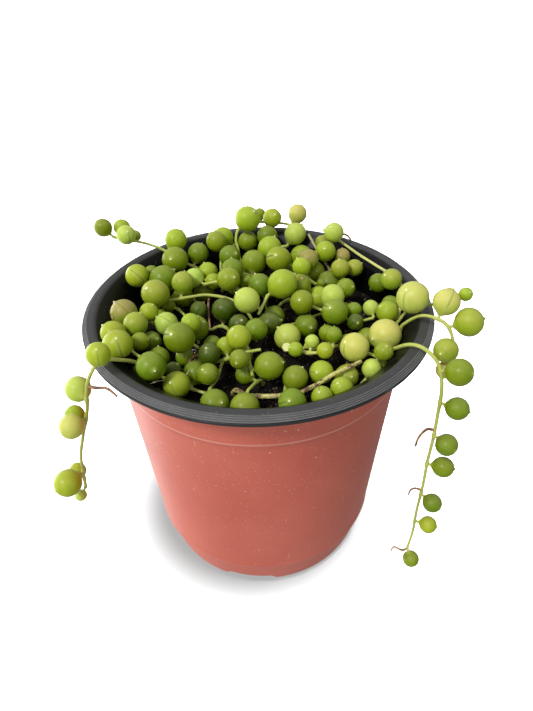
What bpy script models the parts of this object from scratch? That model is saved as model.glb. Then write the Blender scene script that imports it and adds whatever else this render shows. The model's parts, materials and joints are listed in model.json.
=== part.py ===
"""A potted string of pearls: a plastic nursery pot, its soil, and each trailing stem with its pearls.

Lengths are in millimetres and become metres as each mesh is made. The origin is the middle of the
pot's underside, +Z is up and the front is -Y.
"""

import math

import bmesh
import bpy
import numpy as np
from mathutils import Matrix, Vector

MM = 0.001
SEED = 7

# Pot: an open moulded shell, narrower at the foot, with a lip turned outwards and down.
POT_HEIGHT = 108.1
WALL = 1.0
FLOOR = 1.4
LIP_RADIUS = 60.0
LIP_DROP = 3.0
LIP_WALL = 1.2
RIM_INNER_RADIUS = 56.0
RIM_EDGE = 0.6
THROAT_RADIUS = 51.0
THROAT_HEIGHT = 103.8
SHOULDER_RADIUS = 52.0
UPPER_RING_HEIGHT = 88.2
RING_STEP = 0.4
FOOT_RING_RADIUS = 46.0
FOOT_RING_HEIGHT = 13.9
FOOT_RADIUS = 42.9
FOOT_EDGE = 0.6
POT_STEPS = 48

# Drain notches in the foot.
NOTCHES = 4
NOTCH_AZIMUTH = 262.0
NOTCH_WIDTH = 22.0
NOTCH_HEIGHT = 3.0
NOTCH_DEPTH = 6.0
NOTCH_SLOPE = 0.8

# Soil, and the plain holes that the stems stand in.
SOIL_HEIGHT = 94.0
FIT = 0.3
HOLE_DEPTH = 8.0
HOLE_SIDES = 6
HOLE_ROOM = 1.2

# Stems and pearls.
STEM_RADIUS = 0.7
STEM_TIP_SCALE = 0.75
SAMPLE = 2.0
STALK = 1.7
STALK_SUNK = 0.1
PEARL_RINGS = 5
PEARL_SIDES = 6
LARGE_PEARL_SIDES = 7
LARGE_PEARL = 4.0
POINT_LENGTH = 0.13
SIZE_SHIFT = 0.03
SPREAD = 50.0
JITTER = 10.0
END_PEARL_FORWARD = 1.5
FIRST_SEAT = 6
CURVE_STEPS = 24

# How the strands make room for each other.
SETTLE_STEPS = 420
PEARL_GAP = 0.45
PEARL_STEM_GAP = 0.55
STEM_GAP = 1.1
HOME_PULL = 0.02
RIM_GAP = 0.8
ROOT_HEIGHT = 1.5
LENGTH_HOLD = 0.4
BEND_HOLD = 0.3
STALK_HOLD = 0.7
PAIR_EVERY = 20
PAIR_MARGIN = 4.0


def strand(hole, path, pearls=(), spots=None, side=1, lean=(0, 0, 1), spread=SPREAD,
           thickness=STEM_RADIUS):
    """One stem: where it leaves the soil, the route it takes, and its pearls' diameters from root to
    tip. spots are the pearls' distances along the stem; without them they're spaced evenly.
    Pearls take alternate sides of the stem, turned by spread from the lean direction, and a minus
    before a spot puts its pearl on the other side."""
    return dict(hole=hole, path=path, pearls=pearls, spots=spots, side=side, lean=lean, spread=spread,
                thickness=thickness)


# Each route is chosen by hand, as the strands lie on the plant.
STRANDS = {
    # Over the rim.
    "strand_west_crest": strand(
        (-19, 26), [(-23, 31, 102), (-31, 35, 104.5), (-39, 38, 108.5), (-46, 39, 111), (-52, 38, 113),
                    (-57, 37, 115)],
        (8.2, 10.4, 8.7, 7.3, 4.7, 6.7, 7.1), spots=(14, 19, 26, 45, 41.5, -44.5, 54)),
    "strand_north_crest": strand(
        (-6, 38), [(-7, 44, 103), (-7, 51, 110), (-1, 56, 111.5), (6, 57.5, 110.5), (13, 56, 110),
                   (20, 52, 109)],
        (10.3, 5.2, 7.6, 8.2), spots=(22, 31, 37, 46)),
    "strand_east_rim": strand(
        (47, -9), [(49, -5, 103), (52.5, 4, 106), (50, 14, 107), (45, 22, 107.5), (39, 31, 108),
                   (34, 39, 109), (27, 46, 112)],
        (7.8, 6.5, 7.3, 7.2, 7.9, 5.8), spots=(9, 16, 24, 32, 62, 67), lean=(-0.6, -0.2, -0.1)),
    "strand_east_twig": strand(
        (44, -6), [(47, -8, 101), (50, -9, 107.5), (55, -11, 110.6), (60, -12.5, 112.5), (64, -14, 115)],
        (10.6, 2.7, 4.5), spots=(20, 30, 34)),
    "strand_east_arch": strand(
        (46, -14), [(49, -14, 100), (52, -16, 107), (54, -19, 111), (57, -22, 112), (60, -24, 110.5),
                    (61.5, -26, 106), (61, -28, 101)],
        (10.5, 8.3, 8.9, 7.6, 5.4), spots=(9, 23, -29, -34, 39), lean=(0, -0.3, 1)),
    "strand_east_fall": strand(
        (38, -24), [(42, -27, 102), (46, -32, 109.3), (50, -35.5, 110.3), (53.5, -38.5, 107),
                    (55, -40, 100), (55.5, -40, 90), (56, -40, 78), (56, -40, 66), (56.5, -40, 54),
                    (56.5, -40, 40), (57, -40, 27), (56.5, -40, 15)],
        (4.6, 8.2, 7.3, 7.2, 7.1, 6.6, 6.5, 6.5), spots=(8, 33, 45, 58.5, 72, 88.5, 104, 123),
        side=-1, lean=(0.75, -0.6, -0.2), spread=12),
    "strand_west_fall": strand(
        (-29, -25), [(-33, -28, 100), (-37, -31, 106), (-41, -34.5, 109.7), (-45.5, -37.5, 111.5),
                     (-49, -39.5, 107.5), (-51.5, -39.5, 101), (-53, -39.5, 94), (-56, -40, 85),
                     (-59, -41, 75), (-60, -41, 67), (-61, -41, 59)],
        (7.0, 7.3, 8.2, 7.6, 6.2, 8.9, 6.0, 4.0), spots=(9, 29, 44, 51, 54, 76, 79, 84),
        lean=(-0.5, 0, 0.6), spread=45),
    # Left side of the crowd.
    "strand_west_a": strand(
        (-2, 4), [(-8, 7, 102), (-18, 10, 103.5), (-26, 8, 104), (-33, 8, 103), (-39, 12, 102.5),
                  (-42, 18, 103), (-43, 21, 103)],
        (8.5, 10, 10.4, 8.8, 5.6), spots=(33, 38, 47, 52, 58)),
    "strand_west_b": strand(
        (-31, 2), [(-35, -3, 99.5), (-39, -5, 102.5), (-42, -11, 104), (-43, -18, 104), (-41, -25, 106),
                   (-38, -29, 106.5), (-34.5, -31.5, 106.5)],
        (6.5, 6.4, 9.2, 8.2, 8.0, 5.9, 9.0), spots=(9, 15, 21, 27, 33, 32, 50)),
    "strand_west_c": strand(
        (-36, -9), [(-40, -13, 98), (-43, -20, 100), (-45, -27, 104)],
        (6.8, 5.4, 8.8), spots=(7, 13, 24), side=-1),
    "strand_west_low": strand(
        (-36, -20), [(-32, -25, 97), (-26, -30, 97), (-19, -34, 97), (-14, -36, 96.5)],
        (7.0, 5.3, 8.5, 7.7), spots=(7, 12, 20, 22)),
    "strand_west_top": strand(
        (-22, -6), [(-26, -10, 100), (-26, -15, 105), (-24, -20, 106), (-19, -24, 105)],
        (8.3, 7.9, 6.6, 9.9), side=-1, spots=(6, 13, 18, 25)),
    "strand_west_mid": strand(
        (-11, -1), [(-14, 0, 96.5), (-18, -2, 96.5), (-24, 2, 97), (-30, 8, 99)],
        (8.9, 6.4, 6.6, 5.2)),
    # Front of the crowd.
    "strand_front_a": strand(
        (-5, -8), [(-6, -13, 100), (-5, -19, 103), (-4, -24, 104), (-3, -29, 101.5), (-2, -33, 100)],
        (7.6, 7.6, 8.9), side=-1, spots=(12, 21, 27)),
    "strand_front_b": strand(
        (-11, -18), [(-12, -23, 97.5), (-13, -30, 97.5), (-15, -36, 97.5), (-16, -41, 96.5)],
        (7.7, 6.6, 8.6), side=-1),
    "strand_front_f": strand(
        (-22, -19), [(-18, -23, 98), (-12, -26, 100.5), (-5, -27.5, 104), (1, -29, 106)],
        (6.0, 6.8, 6.0, 6.0), side=-1, spots=(-4, 12, 18, 24)),
    "strand_front_c": strand(
        (1, -30), [(-1, -33, 96.5), (-3, -37, 96.3), (-5, -41, 96.3)],
        (6.4, 8.9)),
    "strand_front_buds": strand(
        (14, -12), [(14, -16, 97), (14, -20, 99.5), (16, -23, 101), (20, -24, 102), (24, -22, 102)],
        (8.8, 2.6, 5.0, 4.6, 5.0, 5.4)),
    "strand_front_d": strand(
        (10, -25), [(9, -30, 97), (8, -36, 96.3), (11, -41, 96.3)],
        (5.5, 7.9, 8.1)),
    "strand_front_g": strand(
        (19, -28), [(22, -28.5, 97.5), (25.5, -30, 97.5)],
        (7.8, 3.3, 7.4), spots=(5, 9, 11)),
    "strand_front_e": strand(
        (14, -43), [(18, -42, 96.3), (24, -39.5, 96.3), (29, -36.5, 97), (33, -33, 98)],
        (6.7, 7.2, 6.2), spots=(9, -16, 24)),
    "strand_southeast": strand(
        (33, -21), [(34, -24, 100), (36, -27, 101), (37, -29.5, 101)],
        (9.2, 6.0), spots=(8, 16)),
    "strand_east_low": strand(
        (18, -15), [(22, -15, 97.5), (28, -15, 97.5), (34, -15.5, 98)],
        (5.6, 6.7, 6.7), side=-1, spots=(8, 12, 20)),
    # Middle of the crowd.
    "strand_middle_a": strand(
        (7, 12), [(11, 8, 102), (17, 3, 103), (26, -2.5, 102), (34, -6, 100.5), (40, -7, 102)],
        (8.8, 8.5, 8.9, 8.8, 5.7, 5.8, 5.7), side=-1, spots=(11, 18, 26, 31, 38, 35, 44)),
    "strand_middle_b": strand(
        (3, 14), [(3, 10, 101), (4, 5, 105.5), (3, 0, 105.5), (1, -5, 103.5)],
        (8.6, 10.2, 8.8), spots=(9, 15, 23)),
    "strand_middle_c": strand(
        (6, -4), [(8, -2, 97), (12, 0, 96.5), (17, 2, 96.5), (22, 6, 96.5), (27, 6, 97)],
        (8.0, 8.3, 6.8, 7.4), side=-1),
    "strand_middle_d": strand(
        (-3, 17), [(-7, 17, 101), (-11, 16, 105.5), (-15, 14, 107), (-20, 16, 104.5)],
        (8.3, 8.4, 8.4, 7.7), side=-1),
    "strand_middle_e": strand(
        (-1, -5), [(-2, -4, 99), (-7, -5, 99), (-12, -10, 96.5)],
        (8.7, 7.0, 6.5)),
    "strand_middle_f": strand(
        (-24, 18), [(-28, 20, 97), (-33, 20, 97.5), (-38, 15, 98)],
        (7.6, 8.2, 7.0, 7.4)),
    "strand_middle_g": strand(
        (-4, 28), [(-9, 28, 97), (-13, 26, 97.5), (-18, 25, 98)],
        (7.4, 6.8, 7.8)),
    "strand_north_a": strand(
        (2, 24), [(-1, 24, 101), (-5, 23, 105), (-9, 22, 104.5), (-13, 20, 103)],
        (7.8, 9.8, 5.5, 6.4), side=-1),
    "strand_north_b": strand(
        (15, 21), [(16, 25, 103), (12, 30, 104.5), (6, 33, 104), (1, 35, 103), (-3, 40, 102)],
        (5.5, 8.6, 9.5, 9.8), side=-1, spots=(7, 13, 20, 28)),
    "strand_north_c": strand(
        (-15, 29), [(-15, 34, 104), (-13, 40, 106), (-10, 46, 105)],
        (8.3, 8.1, 8.0, 8.1), spots=(11, 17, 23, 27)),
    "strand_north_d": strand(
        (0, 43), [(1, 46, 100), (4, 47, 103), (8, 46, 104.5), (12, 45, 105)],
        (7.0, 8.6, 9.2), side=-1, spots=(8, 14, 21)),
    "strand_northeast_a": strand(
        (21, 36), [(23, 39, 98.5), (25, 41, 101.5), (29, 38, 102.5)],
        (8.4, 8.6, 8.4)),
    "strand_northeast_b": strand(
        (28, 12), [(29, 16, 101), (32, 21, 102), (33.5, 26, 102), (34, 31, 103)],
        (9.0, 7.1, 7.1, 6.8, 6.6), side=-1),
    "strand_east_bud": strand(
        (24, 17), [(23, 20, 100), (19, 19, 104.5)],
        (9.6, 3.5, 7.1), spots=(5, 9, 13)),
    "strand_northeast_c": strand(
        (10, 34), [(13, 37, 97), (14, 41, 98), (11, 45, 98.5)],
        (7.2, 7.8, 7.0)),
    # Bare stems.
    "cut_stub": strand((32, 29), [(29, 32, 101), (25, 37, 106), (21, 45, 110)]),
    "old_stem": strand(
        (-8, -34), [(-3, -37.3, 95.8), (3, -38.6, 95.8), (7, -39.4, 96.2), (11.5, -40.2, 97.3),
                    (17.4, -38.9, 99.5), (22.4, -36.7, 101.5), (28, -34, 103), (31.5, -31.5, 103.5)],
        thickness=0.95),
}


def smooth_route(points, step):
    """A Catmull-Rom curve through the points, resampled about every step."""
    knots = np.array([points[0], *points, points[-1]], float)
    ends = [knots[1] * 2 - knots[2], knots[-2] * 2 - knots[-3]]
    knots[0], knots[-1] = ends
    fine = []
    for before, start, end, after in zip(knots, knots[1:], knots[2:], knots[3:]):
        t = np.linspace(0, 1, CURVE_STEPS, endpoint=False)[:, None]
        fine.append(0.5 * (2 * start + (end - before) * t
                           + (2 * before - 5 * start + 4 * end - after) * t ** 2
                           + (3 * start - before - 3 * end + after) * t ** 3))
    fine = np.concatenate([*fine, knots[-2:-1]])
    along = np.concatenate([[0], np.cumsum(np.linalg.norm(np.diff(fine, axis=0), axis=1))])
    even = np.linspace(0, along[-1], max(4, round(along[-1] / step) + 1))
    return np.stack([np.interp(even, along, fine[:, k]) for k in range(3)], axis=1)


def unit(vector):
    return vector / np.linalg.norm(vector, axis=-1, keepdims=True).clip(1e-9)


def lay_out(strands):
    """The stems' sampled points and the pearls, before they make room for each other."""
    draw = np.random.default_rng(SEED)
    stems, owners, thicknesses, pearls = [], [], [], []
    for index, spec in enumerate(strands.values()):
        root = [(*spec["hole"], SOIL_HEIGHT - HOLE_DEPTH + FIT), (*spec["hole"], SOIL_HEIGHT + 1)]
        stem = smooth_route(root + spec["path"], SAMPLE)
        start = sum(map(len, stems))
        last = len(stem) - 1
        seats = np.linspace(FIRST_SEAT, last, len(spec["pearls"]))
        flips = np.ones(len(seats))
        if spec["spots"]:
            seats = (abs(np.array(spec["spots"])) + HOLE_DEPTH) / SAMPLE
            flips = np.sign(spec["spots"])
        tangents = unit(np.gradient(stem, axis=0))
        for k, (diameter, seat) in enumerate(zip(spec["pearls"], seats)):
            seat = min(int(round(seat)), last)
            tangent = tangents[seat]
            lean = np.array(spec["lean"], float)
            lean = unit(lean - tangent * (lean @ tangent))
            turn = math.radians(spec["spread"] + draw.uniform(-JITTER, JITTER))
            sideways = spec["side"] * flips[k] * (-1) ** k * np.cross(tangent, lean)
            axis = math.cos(turn) * lean + math.sin(turn) * sideways
            if seat == last:
                axis = unit(axis + END_PEARL_FORWARD * tangent)
            radius = diameter / 2 * draw.uniform(1 - SIZE_SHIFT, 1 + SIZE_SHIFT)
            pearls.append((index, start + seat, radius, stem[seat] + axis * (radius + STALK)))
        stems.append(stem)
        owners += [index] * len(stem)
        thicknesses += [spec["thickness"]] * len(stem)
    return np.concatenate(stems), np.array(owners), np.array(thicknesses), pearls


def inner_radius(height):
    """The inside of the pot's wall at this height."""
    heights = (0, FOOT_RING_HEIGHT, THROAT_HEIGHT, POT_HEIGHT)
    radii = (FOOT_RADIUS - WALL, FOOT_RING_RADIUS - WALL, THROAT_RADIUS, RIM_INNER_RADIUS)
    return np.interp(height, heights, radii)


def nearest_on_wall(section):
    """For points of the pot's section, as (radius, height): the nearest point of its wall's outline."""
    outline = np.array([
        (FOOT_RING_RADIUS - WALL, FOOT_RING_HEIGHT), (THROAT_RADIUS, THROAT_HEIGHT),
        (RIM_INNER_RADIUS, POT_HEIGHT), (LIP_RADIUS - LIP_WALL, POT_HEIGHT),
        (LIP_RADIUS, POT_HEIGHT - LIP_WALL), (LIP_RADIUS, 0)])
    start, along = outline[:-1], np.diff(outline, axis=0)
    share = ((section[:, None] - start) * along).sum(axis=2) / (along ** 2).sum(axis=1)
    found = start + along * share.clip(0, 1)[..., None]
    best = np.linalg.norm(section[:, None] - found, axis=2).argmin(axis=1)
    return found[np.arange(len(section)), best]


def keep_off_pot(points, room):
    """Moves points out of the soil, the wall and the lip, to stand room away from them."""
    radius = np.linalg.norm(points[:, :2], axis=1)
    outward = points[:, :2] / radius[:, None].clip(1e-6)
    section = np.stack([radius, points[:, 2]], axis=1)
    away = section - nearest_on_wall(section)
    distance = np.linalg.norm(away, axis=1)
    buried = (radius > inner_radius(points[:, 2])) & (radius < LIP_RADIUS) & (points[:, 2] < POT_HEIGHT)
    depth = np.where(buried, -room - distance, (room - distance).clip(0))
    away *= (depth / distance.clip(1e-6))[:, None]
    moved = points.copy()
    moved[:, :2] += outward * away[:, :1]
    moved[:, 2] += away[:, 1]
    inside = radius < LIP_RADIUS
    moved[inside, 2] = np.maximum(moved[inside, 2], SOIL_HEIGHT + room[inside])
    return moved


def close_pairs(a, b, reach, allowed):
    """The index pairs of a and b that stand closer than reach and are allowed to push each other."""
    distance = np.linalg.norm(a[:, None] - b[None], axis=2)
    return np.nonzero((distance < reach) & allowed)


def push_apart(a, b, pairs, room):
    """What each row of a and b must move so that every pair stands room apart."""
    one, two = pairs
    between = a[one] - b[two]
    distance = np.linalg.norm(between, axis=1)
    overlap = (room[one, two] - distance).clip(0)
    push = between * (overlap / 2 / distance.clip(1e-6))[:, None]
    moved = []
    for index, shift, count in ((one, push, len(a)), (two, -push, len(b))):
        total = np.stack([np.bincount(index, shift[:, k], count) for k in range(3)], axis=1)
        pushes = np.bincount(index, overlap > 0, count).clip(1)
        moved.append(total / pushes[:, None] ** 0.5)
    return moved


def settle(strands):
    """The stems and pearls once they have made room for each other. Stems keep their length and their
    bends, pearls stay on their stalks, and roots stay in their holes."""
    stem, owner, thickness, pearls = lay_out(strands)
    seat = np.array([pearl[1] for pearl in pearls])
    radius = np.array([pearl[2] for pearl in pearls])
    centre = np.array([pearl[3] for pearl in pearls])
    order = np.arange(len(stem))
    same = owner[1:] == owner[:-1]
    links = order[:-1][same]
    rest = np.linalg.norm(stem[links + 1] - stem[links], axis=1)
    middle = order[1:-1][same[1:] & same[:-1]]
    bend = (stem[middle - 1] + stem[middle + 1]) / 2 - stem[middle]
    rooted = stem[:, 2] < SOIL_HEIGHT + ROOT_HEIGHT
    home, home_centre = stem.copy(), centre.copy()
    # Room that two pearls, a pearl and a stem, or two stems need, and which of them may meet.
    pearl_room = radius[:, None] + radius[None] + PEARL_GAP
    stem_room = radius[:, None] + thickness[None] + PEARL_STEM_GAP
    own_room = thickness[:, None] + thickness[None] + STEM_GAP
    other_pearl = np.triu(np.ones_like(pearl_room, bool), 1)
    other_seat = abs(order[None] - seat[:, None]) > 1
    other_stem = np.triu((owner[:, None] != owner[None]) | (abs(order[:, None] - order[None]) > 4), 1)
    for step in range(SETTLE_STEPS):
        if step % PAIR_EVERY == 0:
            pearl_pairs = close_pairs(centre, centre, pearl_room + PAIR_MARGIN, other_pearl)
            seat_pairs = close_pairs(centre, stem, stem_room + PAIR_MARGIN, other_seat)
            stem_pairs = close_pairs(stem, stem, own_room + PAIR_MARGIN, other_stem)
        pull = HOME_PULL * max(0.0, 1 - 1.5 * step / SETTLE_STEPS)
        stem += (home - stem) * pull
        centre += (home_centre - centre) * pull
        between = stem[links + 1] - stem[links]
        length = np.linalg.norm(between, axis=1)
        shift = between * ((length - rest) / length.clip(1e-6) * LENGTH_HOLD)[:, None]
        stem[links] += shift
        stem[links + 1] -= shift
        stem[middle] += ((stem[middle - 1] + stem[middle + 1]) / 2 - stem[middle] - bend) * BEND_HOLD
        apart = centre - stem[seat]
        reach = np.linalg.norm(apart, axis=1)
        shift = apart * ((radius + STALK - reach) / reach)[:, None]
        centre += shift * STALK_HOLD
        np.add.at(stem, seat, -shift * (1 - STALK_HOLD))
        one, two = push_apart(centre, centre, pearl_pairs, pearl_room)
        centre += one + two
        one, two = push_apart(centre, stem, seat_pairs, stem_room)
        centre += one
        stem += two
        one, two = push_apart(stem, stem, stem_pairs, own_room)
        stem += one + two
        centre = keep_off_pot(centre, radius + PEARL_GAP)
        free = keep_off_pot(stem, thickness + RIM_GAP)
        stem = np.where(rooted[:, None], home, free)
    return stem, owner, seat, radius, centre


def clear_scene():
    for obj in list(bpy.data.objects):
        bpy.data.objects.remove(obj, do_unlink=True)


def new_collection(name, parent):
    collection = bpy.data.collections.new(name)
    parent.children.link(collection)
    return collection


def material(name, colour, roughness):
    made = bpy.data.materials.new(name)
    made.use_nodes = True
    shader = made.node_tree.nodes["Principled BSDF"]
    shader.inputs["Base Color"].default_value = (*colour, 1)
    shader.inputs["Roughness"].default_value = roughness
    shader.inputs["Metallic"].default_value = 0
    made.diffuse_color = (*colour, 1)
    return made


def add_object(name, data, collection, finish):
    obj = bpy.data.objects.new(name, data)
    collection.objects.link(obj)
    if not data.materials:
        data.materials.append(finish)
    return obj


def mesh_of(obj):
    """The object's mesh with its modifiers applied."""
    graph = bpy.context.evaluated_depsgraph_get()
    return bpy.data.meshes.new_from_object(obj.evaluated_get(graph))


def turned(name, profile, collection, finish):
    """A profile of (radius, height) points turned about Z. It ends on the axis at both ends."""
    data = bpy.data.meshes.new(name)
    points = [(radius * MM, 0, height * MM) for radius, height in profile]
    data.from_pydata(points, [(k, k + 1) for k in range(len(points) - 1)], [])
    obj = add_object(name, data, collection, finish)
    screw = obj.modifiers.new("turn", "SCREW")
    screw.axis = "Z"
    screw.steps = screw.render_steps = POT_STEPS
    screw.use_merge_vertices = True
    screw.merge_threshold = 0.00001
    screw.use_normal_calculate = True
    obj.data = mesh_of(obj)
    obj.modifiers.clear()
    obj.data.shade_smooth()
    obj.data.set_sharp_from_angle(angle=math.radians(30))
    return obj


def join_or_cut(obj, others, operation):
    """One Boolean between the object and a collection, applied, with the collection's objects removed."""
    boolean = obj.modifiers.new(operation.lower(), "BOOLEAN")
    boolean.operation = operation
    boolean.operand_type = "COLLECTION"
    boolean.collection = others
    boolean.solver = "EXACT"
    obj.data = mesh_of(obj)
    obj.modifiers.clear()
    for other in list(others.objects):
        bpy.data.objects.remove(other, do_unlink=True)
    bpy.data.collections.remove(others)


def wall_radius(height):
    """The outside of the pot's wall at this height."""
    heights = (0, FOOT_RING_HEIGHT, UPPER_RING_HEIGHT, POT_HEIGHT - LIP_DROP)
    upper = np.interp(UPPER_RING_HEIGHT, (heights[1], heights[3]), (FOOT_RING_RADIUS, SHOULDER_RADIUS))
    return float(np.interp(height, heights, (FOOT_RADIUS, FOOT_RING_RADIUS, upper, SHOULDER_RADIUS)))


def pot_profile():
    """The pot's section, from the middle of its floor up the inside, over the lip and down the outside."""
    lip_bottom = POT_HEIGHT - LIP_DROP
    upper = wall_radius(UPPER_RING_HEIGHT)
    return [
        (0, FLOOR),
        (float(inner_radius(FLOOR)), FLOOR),
        (FOOT_RING_RADIUS - WALL, FOOT_RING_HEIGHT),
        (THROAT_RADIUS, THROAT_HEIGHT),
        (RIM_INNER_RADIUS - RIM_EDGE, POT_HEIGHT - RIM_EDGE),
        (RIM_INNER_RADIUS, POT_HEIGHT),
        (LIP_RADIUS - LIP_WALL, POT_HEIGHT),
        (LIP_RADIUS - LIP_WALL / 3, POT_HEIGHT - LIP_WALL / 2),
        (LIP_RADIUS, POT_HEIGHT - LIP_WALL * 1.5),
        (LIP_RADIUS, lip_bottom),
        (LIP_RADIUS - LIP_WALL, lip_bottom),
        (LIP_RADIUS - LIP_WALL, POT_HEIGHT - LIP_WALL),
        (RIM_INNER_RADIUS + RIM_EDGE, POT_HEIGHT - LIP_WALL),
        (SHOULDER_RADIUS + RIM_EDGE, lip_bottom - RIM_EDGE),
        (SHOULDER_RADIUS, lip_bottom - LIP_WALL),
        (upper + RING_STEP, UPPER_RING_HEIGHT + RING_STEP / 2),
        (upper, UPPER_RING_HEIGHT - RING_STEP / 2),
        (FOOT_RING_RADIUS + RING_STEP / 2, FOOT_RING_HEIGHT + RING_STEP / 2),
        (FOOT_RING_RADIUS - RING_STEP / 2, FOOT_RING_HEIGHT - RING_STEP / 2),
        (FOOT_RADIUS, FOOT_EDGE),
        (FOOT_RADIUS - FOOT_EDGE, 0),
        (0, 0),
    ]


def notch_cutter(azimuth, collection, finish):
    """A low bar with sloped ends that crosses the foot at this azimuth and passes under the floor's edge."""
    bm = bmesh.new()
    bmesh.ops.create_cube(bm, size=1)
    for vert in bm.verts:
        top = vert.co.z > 0
        half_width = NOTCH_WIDTH / 2 - (NOTCH_HEIGHT * NOTCH_SLOPE if top else 0)
        vert.co.x = (FOOT_RADIUS + 4 if vert.co.x > 0 else FOOT_RADIUS - NOTCH_DEPTH) * MM
        vert.co.y = math.copysign(half_width, vert.co.y) * MM
        vert.co.z = (NOTCH_HEIGHT if top else -1) * MM
    bmesh.ops.transform(bm, matrix=Matrix.Rotation(math.radians(azimuth), 4, "Z"), verts=bm.verts)
    data = bpy.data.meshes.new("notch")
    bm.to_mesh(data)
    bm.free()
    cutter = add_object("notch", data, collection, finish)
    cutter.hide_render = True
    cutter.display_type = "WIRE"


def make_pot(parts, finish):
    pot = turned("pot", pot_profile(), parts, finish)
    cutters = new_collection("notches", bpy.context.scene.collection)
    for k in range(NOTCHES):
        notch_cutter(NOTCH_AZIMUTH + 360 / NOTCHES * k, cutters, finish)
    join_or_cut(pot, cutters, "DIFFERENCE")


def make_soil(parts, strands, finish):
    low = max(FLOOR, NOTCH_HEIGHT) + FIT
    profile = [
        (0, SOIL_HEIGHT),
        (float(inner_radius(SOIL_HEIGHT)) - FIT, SOIL_HEIGHT),
        (FOOT_RING_RADIUS - WALL - FIT, FOOT_RING_HEIGHT),
        (float(inner_radius(low)) - FIT, low),
        (0, low),
    ]
    soil = turned("soil", profile, parts, finish)
    cutters = new_collection("holes", bpy.context.scene.collection)
    for name, spec in strands.items():
        radius = (spec["thickness"] + FIT) * HOLE_ROOM * MM
        bm = bmesh.new()
        bmesh.ops.create_cone(bm, cap_ends=True, segments=HOLE_SIDES, radius1=radius, radius2=radius,
                              depth=HOLE_DEPTH * 2 * MM)
        bmesh.ops.translate(bm, verts=bm.verts, vec=Vector((*spec["hole"], SOIL_HEIGHT)) * MM)
        data = bpy.data.meshes.new(name + "_hole")
        bm.to_mesh(data)
        bm.free()
        cutter = add_object(name + "_hole", data, cutters, finish)
        cutter.hide_render = True
        cutter.display_type = "WIRE"
    join_or_cut(soil, cutters, "DIFFERENCE")


def pearl_object(name, seat, centre, radius, collection, finish):
    """A pearl: a globe drawn out below to a stalk that starts inside the stem, and to a point on top."""
    bm = bmesh.new()
    sides = LARGE_PEARL_SIDES if radius > LARGE_PEARL else PEARL_SIDES
    bmesh.ops.create_uvsphere(bm, u_segments=sides, v_segments=PEARL_RINGS, radius=radius)
    axis = centre - seat
    reach = np.linalg.norm(axis)
    lowest = min(vert.co.z for vert in bm.verts)
    highest = max(vert.co.z for vert in bm.verts)
    for vert in bm.verts:
        if vert.co.z == lowest:
            vert.co.z = -reach - STALK_SUNK
        elif vert.co.z == highest:
            vert.co.z = radius * (1 + POINT_LENGTH)
    turn = Vector(axis).to_track_quat("Z", "Y").to_matrix().to_4x4()
    place = Matrix.Scale(MM, 4) @ Matrix.Translation(Vector(centre)) @ turn
    bmesh.ops.transform(bm, matrix=place, verts=bm.verts)
    data = bpy.data.meshes.new(name)
    bm.to_mesh(data)
    bm.free()
    return add_object(name, data, collection, finish)


def stem_mesh(name, points, radii):
    """A square tube along the points, with its caps welded on."""
    curve = bpy.data.curves.new(name, "CURVE")
    curve.dimensions = "3D"
    curve.bevel_depth = MM
    curve.bevel_resolution = 0
    curve.use_fill_caps = True
    spline = curve.splines.new("POLY")
    spline.points.add(len(points) - 1)
    for knot, point, radius in zip(spline.points, points, radii):
        knot.co = (*(point * MM), 1)
        knot.radius = radius
    guide = bpy.data.objects.new(name, curve)
    bpy.context.scene.collection.objects.link(guide)
    data = mesh_of(guide)
    bpy.data.objects.remove(guide, do_unlink=True)
    bm = bmesh.new()
    bm.from_mesh(data)
    bmesh.ops.remove_doubles(bm, verts=bm.verts, dist=1e-6)
    bm.to_mesh(data)
    bm.free()
    return data


def kept_samples(count, seats):
    """Every second sample and each seat, so that a pearl starts from a corner of the stem's line."""
    kept = [0]
    for k in range(1, count):
        if k in seats or k == count - 1 or (k - kept[-1] >= 2 and k + 1 not in seats):
            kept.append(k)
    return kept


def make_strands(parts, strands, leaf, wood):
    stem, owner, seat, radius, centre = settle(strands)
    for index, (name, spec) in enumerate(strands.items()):
        samples = np.flatnonzero(owner == index)
        own = np.flatnonzero(owner[seat] == index)
        kept = kept_samples(len(samples), set(seat[own] - samples[0]))
        radii = np.interp(kept, (0, len(samples) - 1), (1, STEM_TIP_SCALE)) * spec["thickness"]
        finish = leaf if len(own) else wood
        obj = add_object(name, stem_mesh(name, stem[samples[kept]], radii), parts, finish)
        if len(own):
            pearls = new_collection(name + "_pearls", bpy.context.scene.collection)
            for k in own:
                pearl_object(f"{name}_pearl", stem[seat[k]], centre[k], radius[k], pearls, leaf)
            join_or_cut(obj, pearls, "UNION")
        obj.data.shade_smooth()
        obj.data.set_sharp_from_angle(angle=math.radians(60))


def main():
    clear_scene()
    parts = new_collection("potted_string_of_pearls", bpy.context.scene.collection)
    plastic = material("pot_plastic", (0.55, 0.20, 0.14), 0.45)
    earth = material("potting_soil", (0.02, 0.014, 0.01), 0.95)
    leaf = material("pearl_green", (0.30, 0.42, 0.07), 0.35)
    wood = material("old_stem", (0.35, 0.28, 0.16), 0.8)
    make_pot(parts, plastic)
    make_soil(parts, STRANDS, earth)
    make_strands(parts, STRANDS, leaf, wood)


if __name__ == "__main__":
    main()
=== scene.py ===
# A potted string of pearls: a two-colour nursery pot, its soil, and trailing stems with their pearls.
import json
import math

import bmesh
import bpy
import numpy as np
from mathutils import Matrix, Vector, noise

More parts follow.
